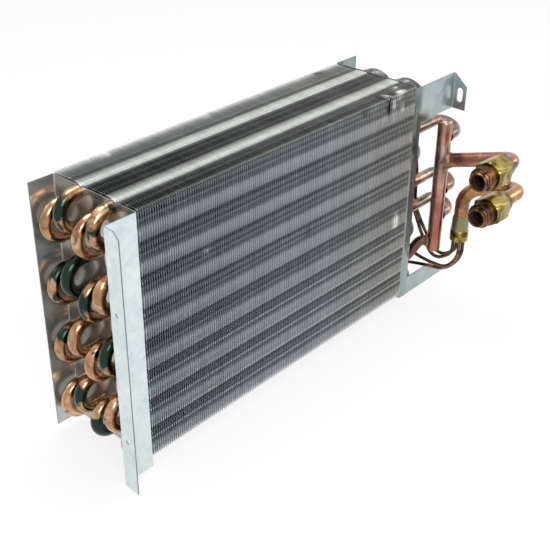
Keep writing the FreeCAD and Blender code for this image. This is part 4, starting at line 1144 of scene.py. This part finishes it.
# Each capillary: bearing of its outlet, straight drop, and points it passes, from the fins' end.
SWEEPS = (
    (315, 19.0, ((37.0, -24.0, 21.0), (31.5, -4.0, 21.0), (30.0, 38.0, 12.0))),
    (225, 17.0, ((33.3, -26.0, 25.0), (30.8, 2.0, 27.0), (30.3, 42.0, 42.0))),
    (135, 15.0, ((33.8, -12.0, 29.0), (33.2, 2.0, 48.0), (32.6, 15.5, 77.0), (31.0, 44.0, 118.0))),
    (45, 14.0, (
        (38.5, -15.0, 32.0), (37.5, 2.0, 51.0), (37.0, 16.0, 75.0), (36.0, 16.5, 128.0),
        (33.0, 42.0, 172.0))),
)


def easy_curve(points, steps):
    """Round each inner point with a wide arc that its shorter run allows."""
    route = [points[0]]
    for before, here, after in zip(points, points[1:], points[2:]):
        turn = (here - before).angle(after - here)
        shorter = min((here - before).length, (after - here).length)
        route += arc_between(before, here, after, CURVE_SHARE * shorter / math.tan(turn / 2), steps)
    return route + [points[-1]]


capillaries, capillary_nodes, ferrule_nodes = [], [], []
for circuit, (bearing, drop, sweep) in enumerate(SWEEPS):
    inlet = Vector((TUBE_END, *tube_at(ROWS - 1, feed_level(circuit))))
    capillaries.append(turned(inlet, rightward, FERRULE_STAGES, sides=20))
    angle = math.radians(bearing)
    spoke = Vector((math.cos(angle), math.sin(angle), 0))
    outlet = LIQUID_UPRIGHT + spoke * OUTLET_RING + upward * DISTRIBUTOR_FOOT
    middle = [Vector((FIN_LENGTH + x, y, z)) for x, y, z in sweep]
    points = [outlet, outlet - upward * drop, *middle]
    points += [inlet + rightward * INLET_RUN, inlet + rightward * FERRULE_END]
    capillaries.append(swept(easy_curve(points, steps=9), CAPILLARY_RADIUS, sides=14))
    capillary_nodes.append(f"capillary_{circuit + 1}")
    ferrule_nodes.append(f"inlet_ferrule_{circuit + 1}")
# Browned copper: thin tube that the torch has left a dark brown with a dull gloss.
brown_copper = copper("browned copper", "#9A6C58", "#573A2E", "#2F2722", 0.46, 0.24, "#5E5238")
joined("capillary_tubes", capillaries, brown_copper, "dull_copper", *capillary_nodes, *ferrule_nodes)

# Braze fillets: silver-bearing filler that has run round the header's joints, and the
# scale that the torch leaves beside them.
LUMP_WIDTH = 3.3
SADDLE_STAGES = ((5.2, 7.4), (6.9, 7.5), (8.2, 7.0), (9.6, 6.4))
# Braze filler under scale: dull and brownish, lumpy where the alloy froze.
filler = bpy.data.materials.new("braze filler")
tree = cleared(filler)
place = add_node(tree, "TexCoord").outputs["Object"]
lumps = add_node(tree, "TexNoise", {"Vector": place, "Scale": 1 / (LUMP_WIDTH * MM), "Detail": 4.0})
tint = add_node(tree, "Mix", {0: lumps, 6: srgb("#5A4339"), 7: srgb("#A58370")}, data_type="RGBA")
bump = add_node(tree, "Bump", {"Height": lumps, "Strength": 0.6, "Distance": 0.6 * MM})
metal = add_node(tree, "BsdfPrincipled", {
    "Base Color": tint, "Metallic": 0.8, "Roughness": 0.42, "Normal": bump})
add_node(tree, "OutputMaterial", {"Surface": metal})
saddle_way = (suction_corner - suction_start).normalized()
fillets.append(turned(suction_start, saddle_way, SADDLE_STAGES, sides=28))
joined("braze_fillets", fillets, filler, "copper")
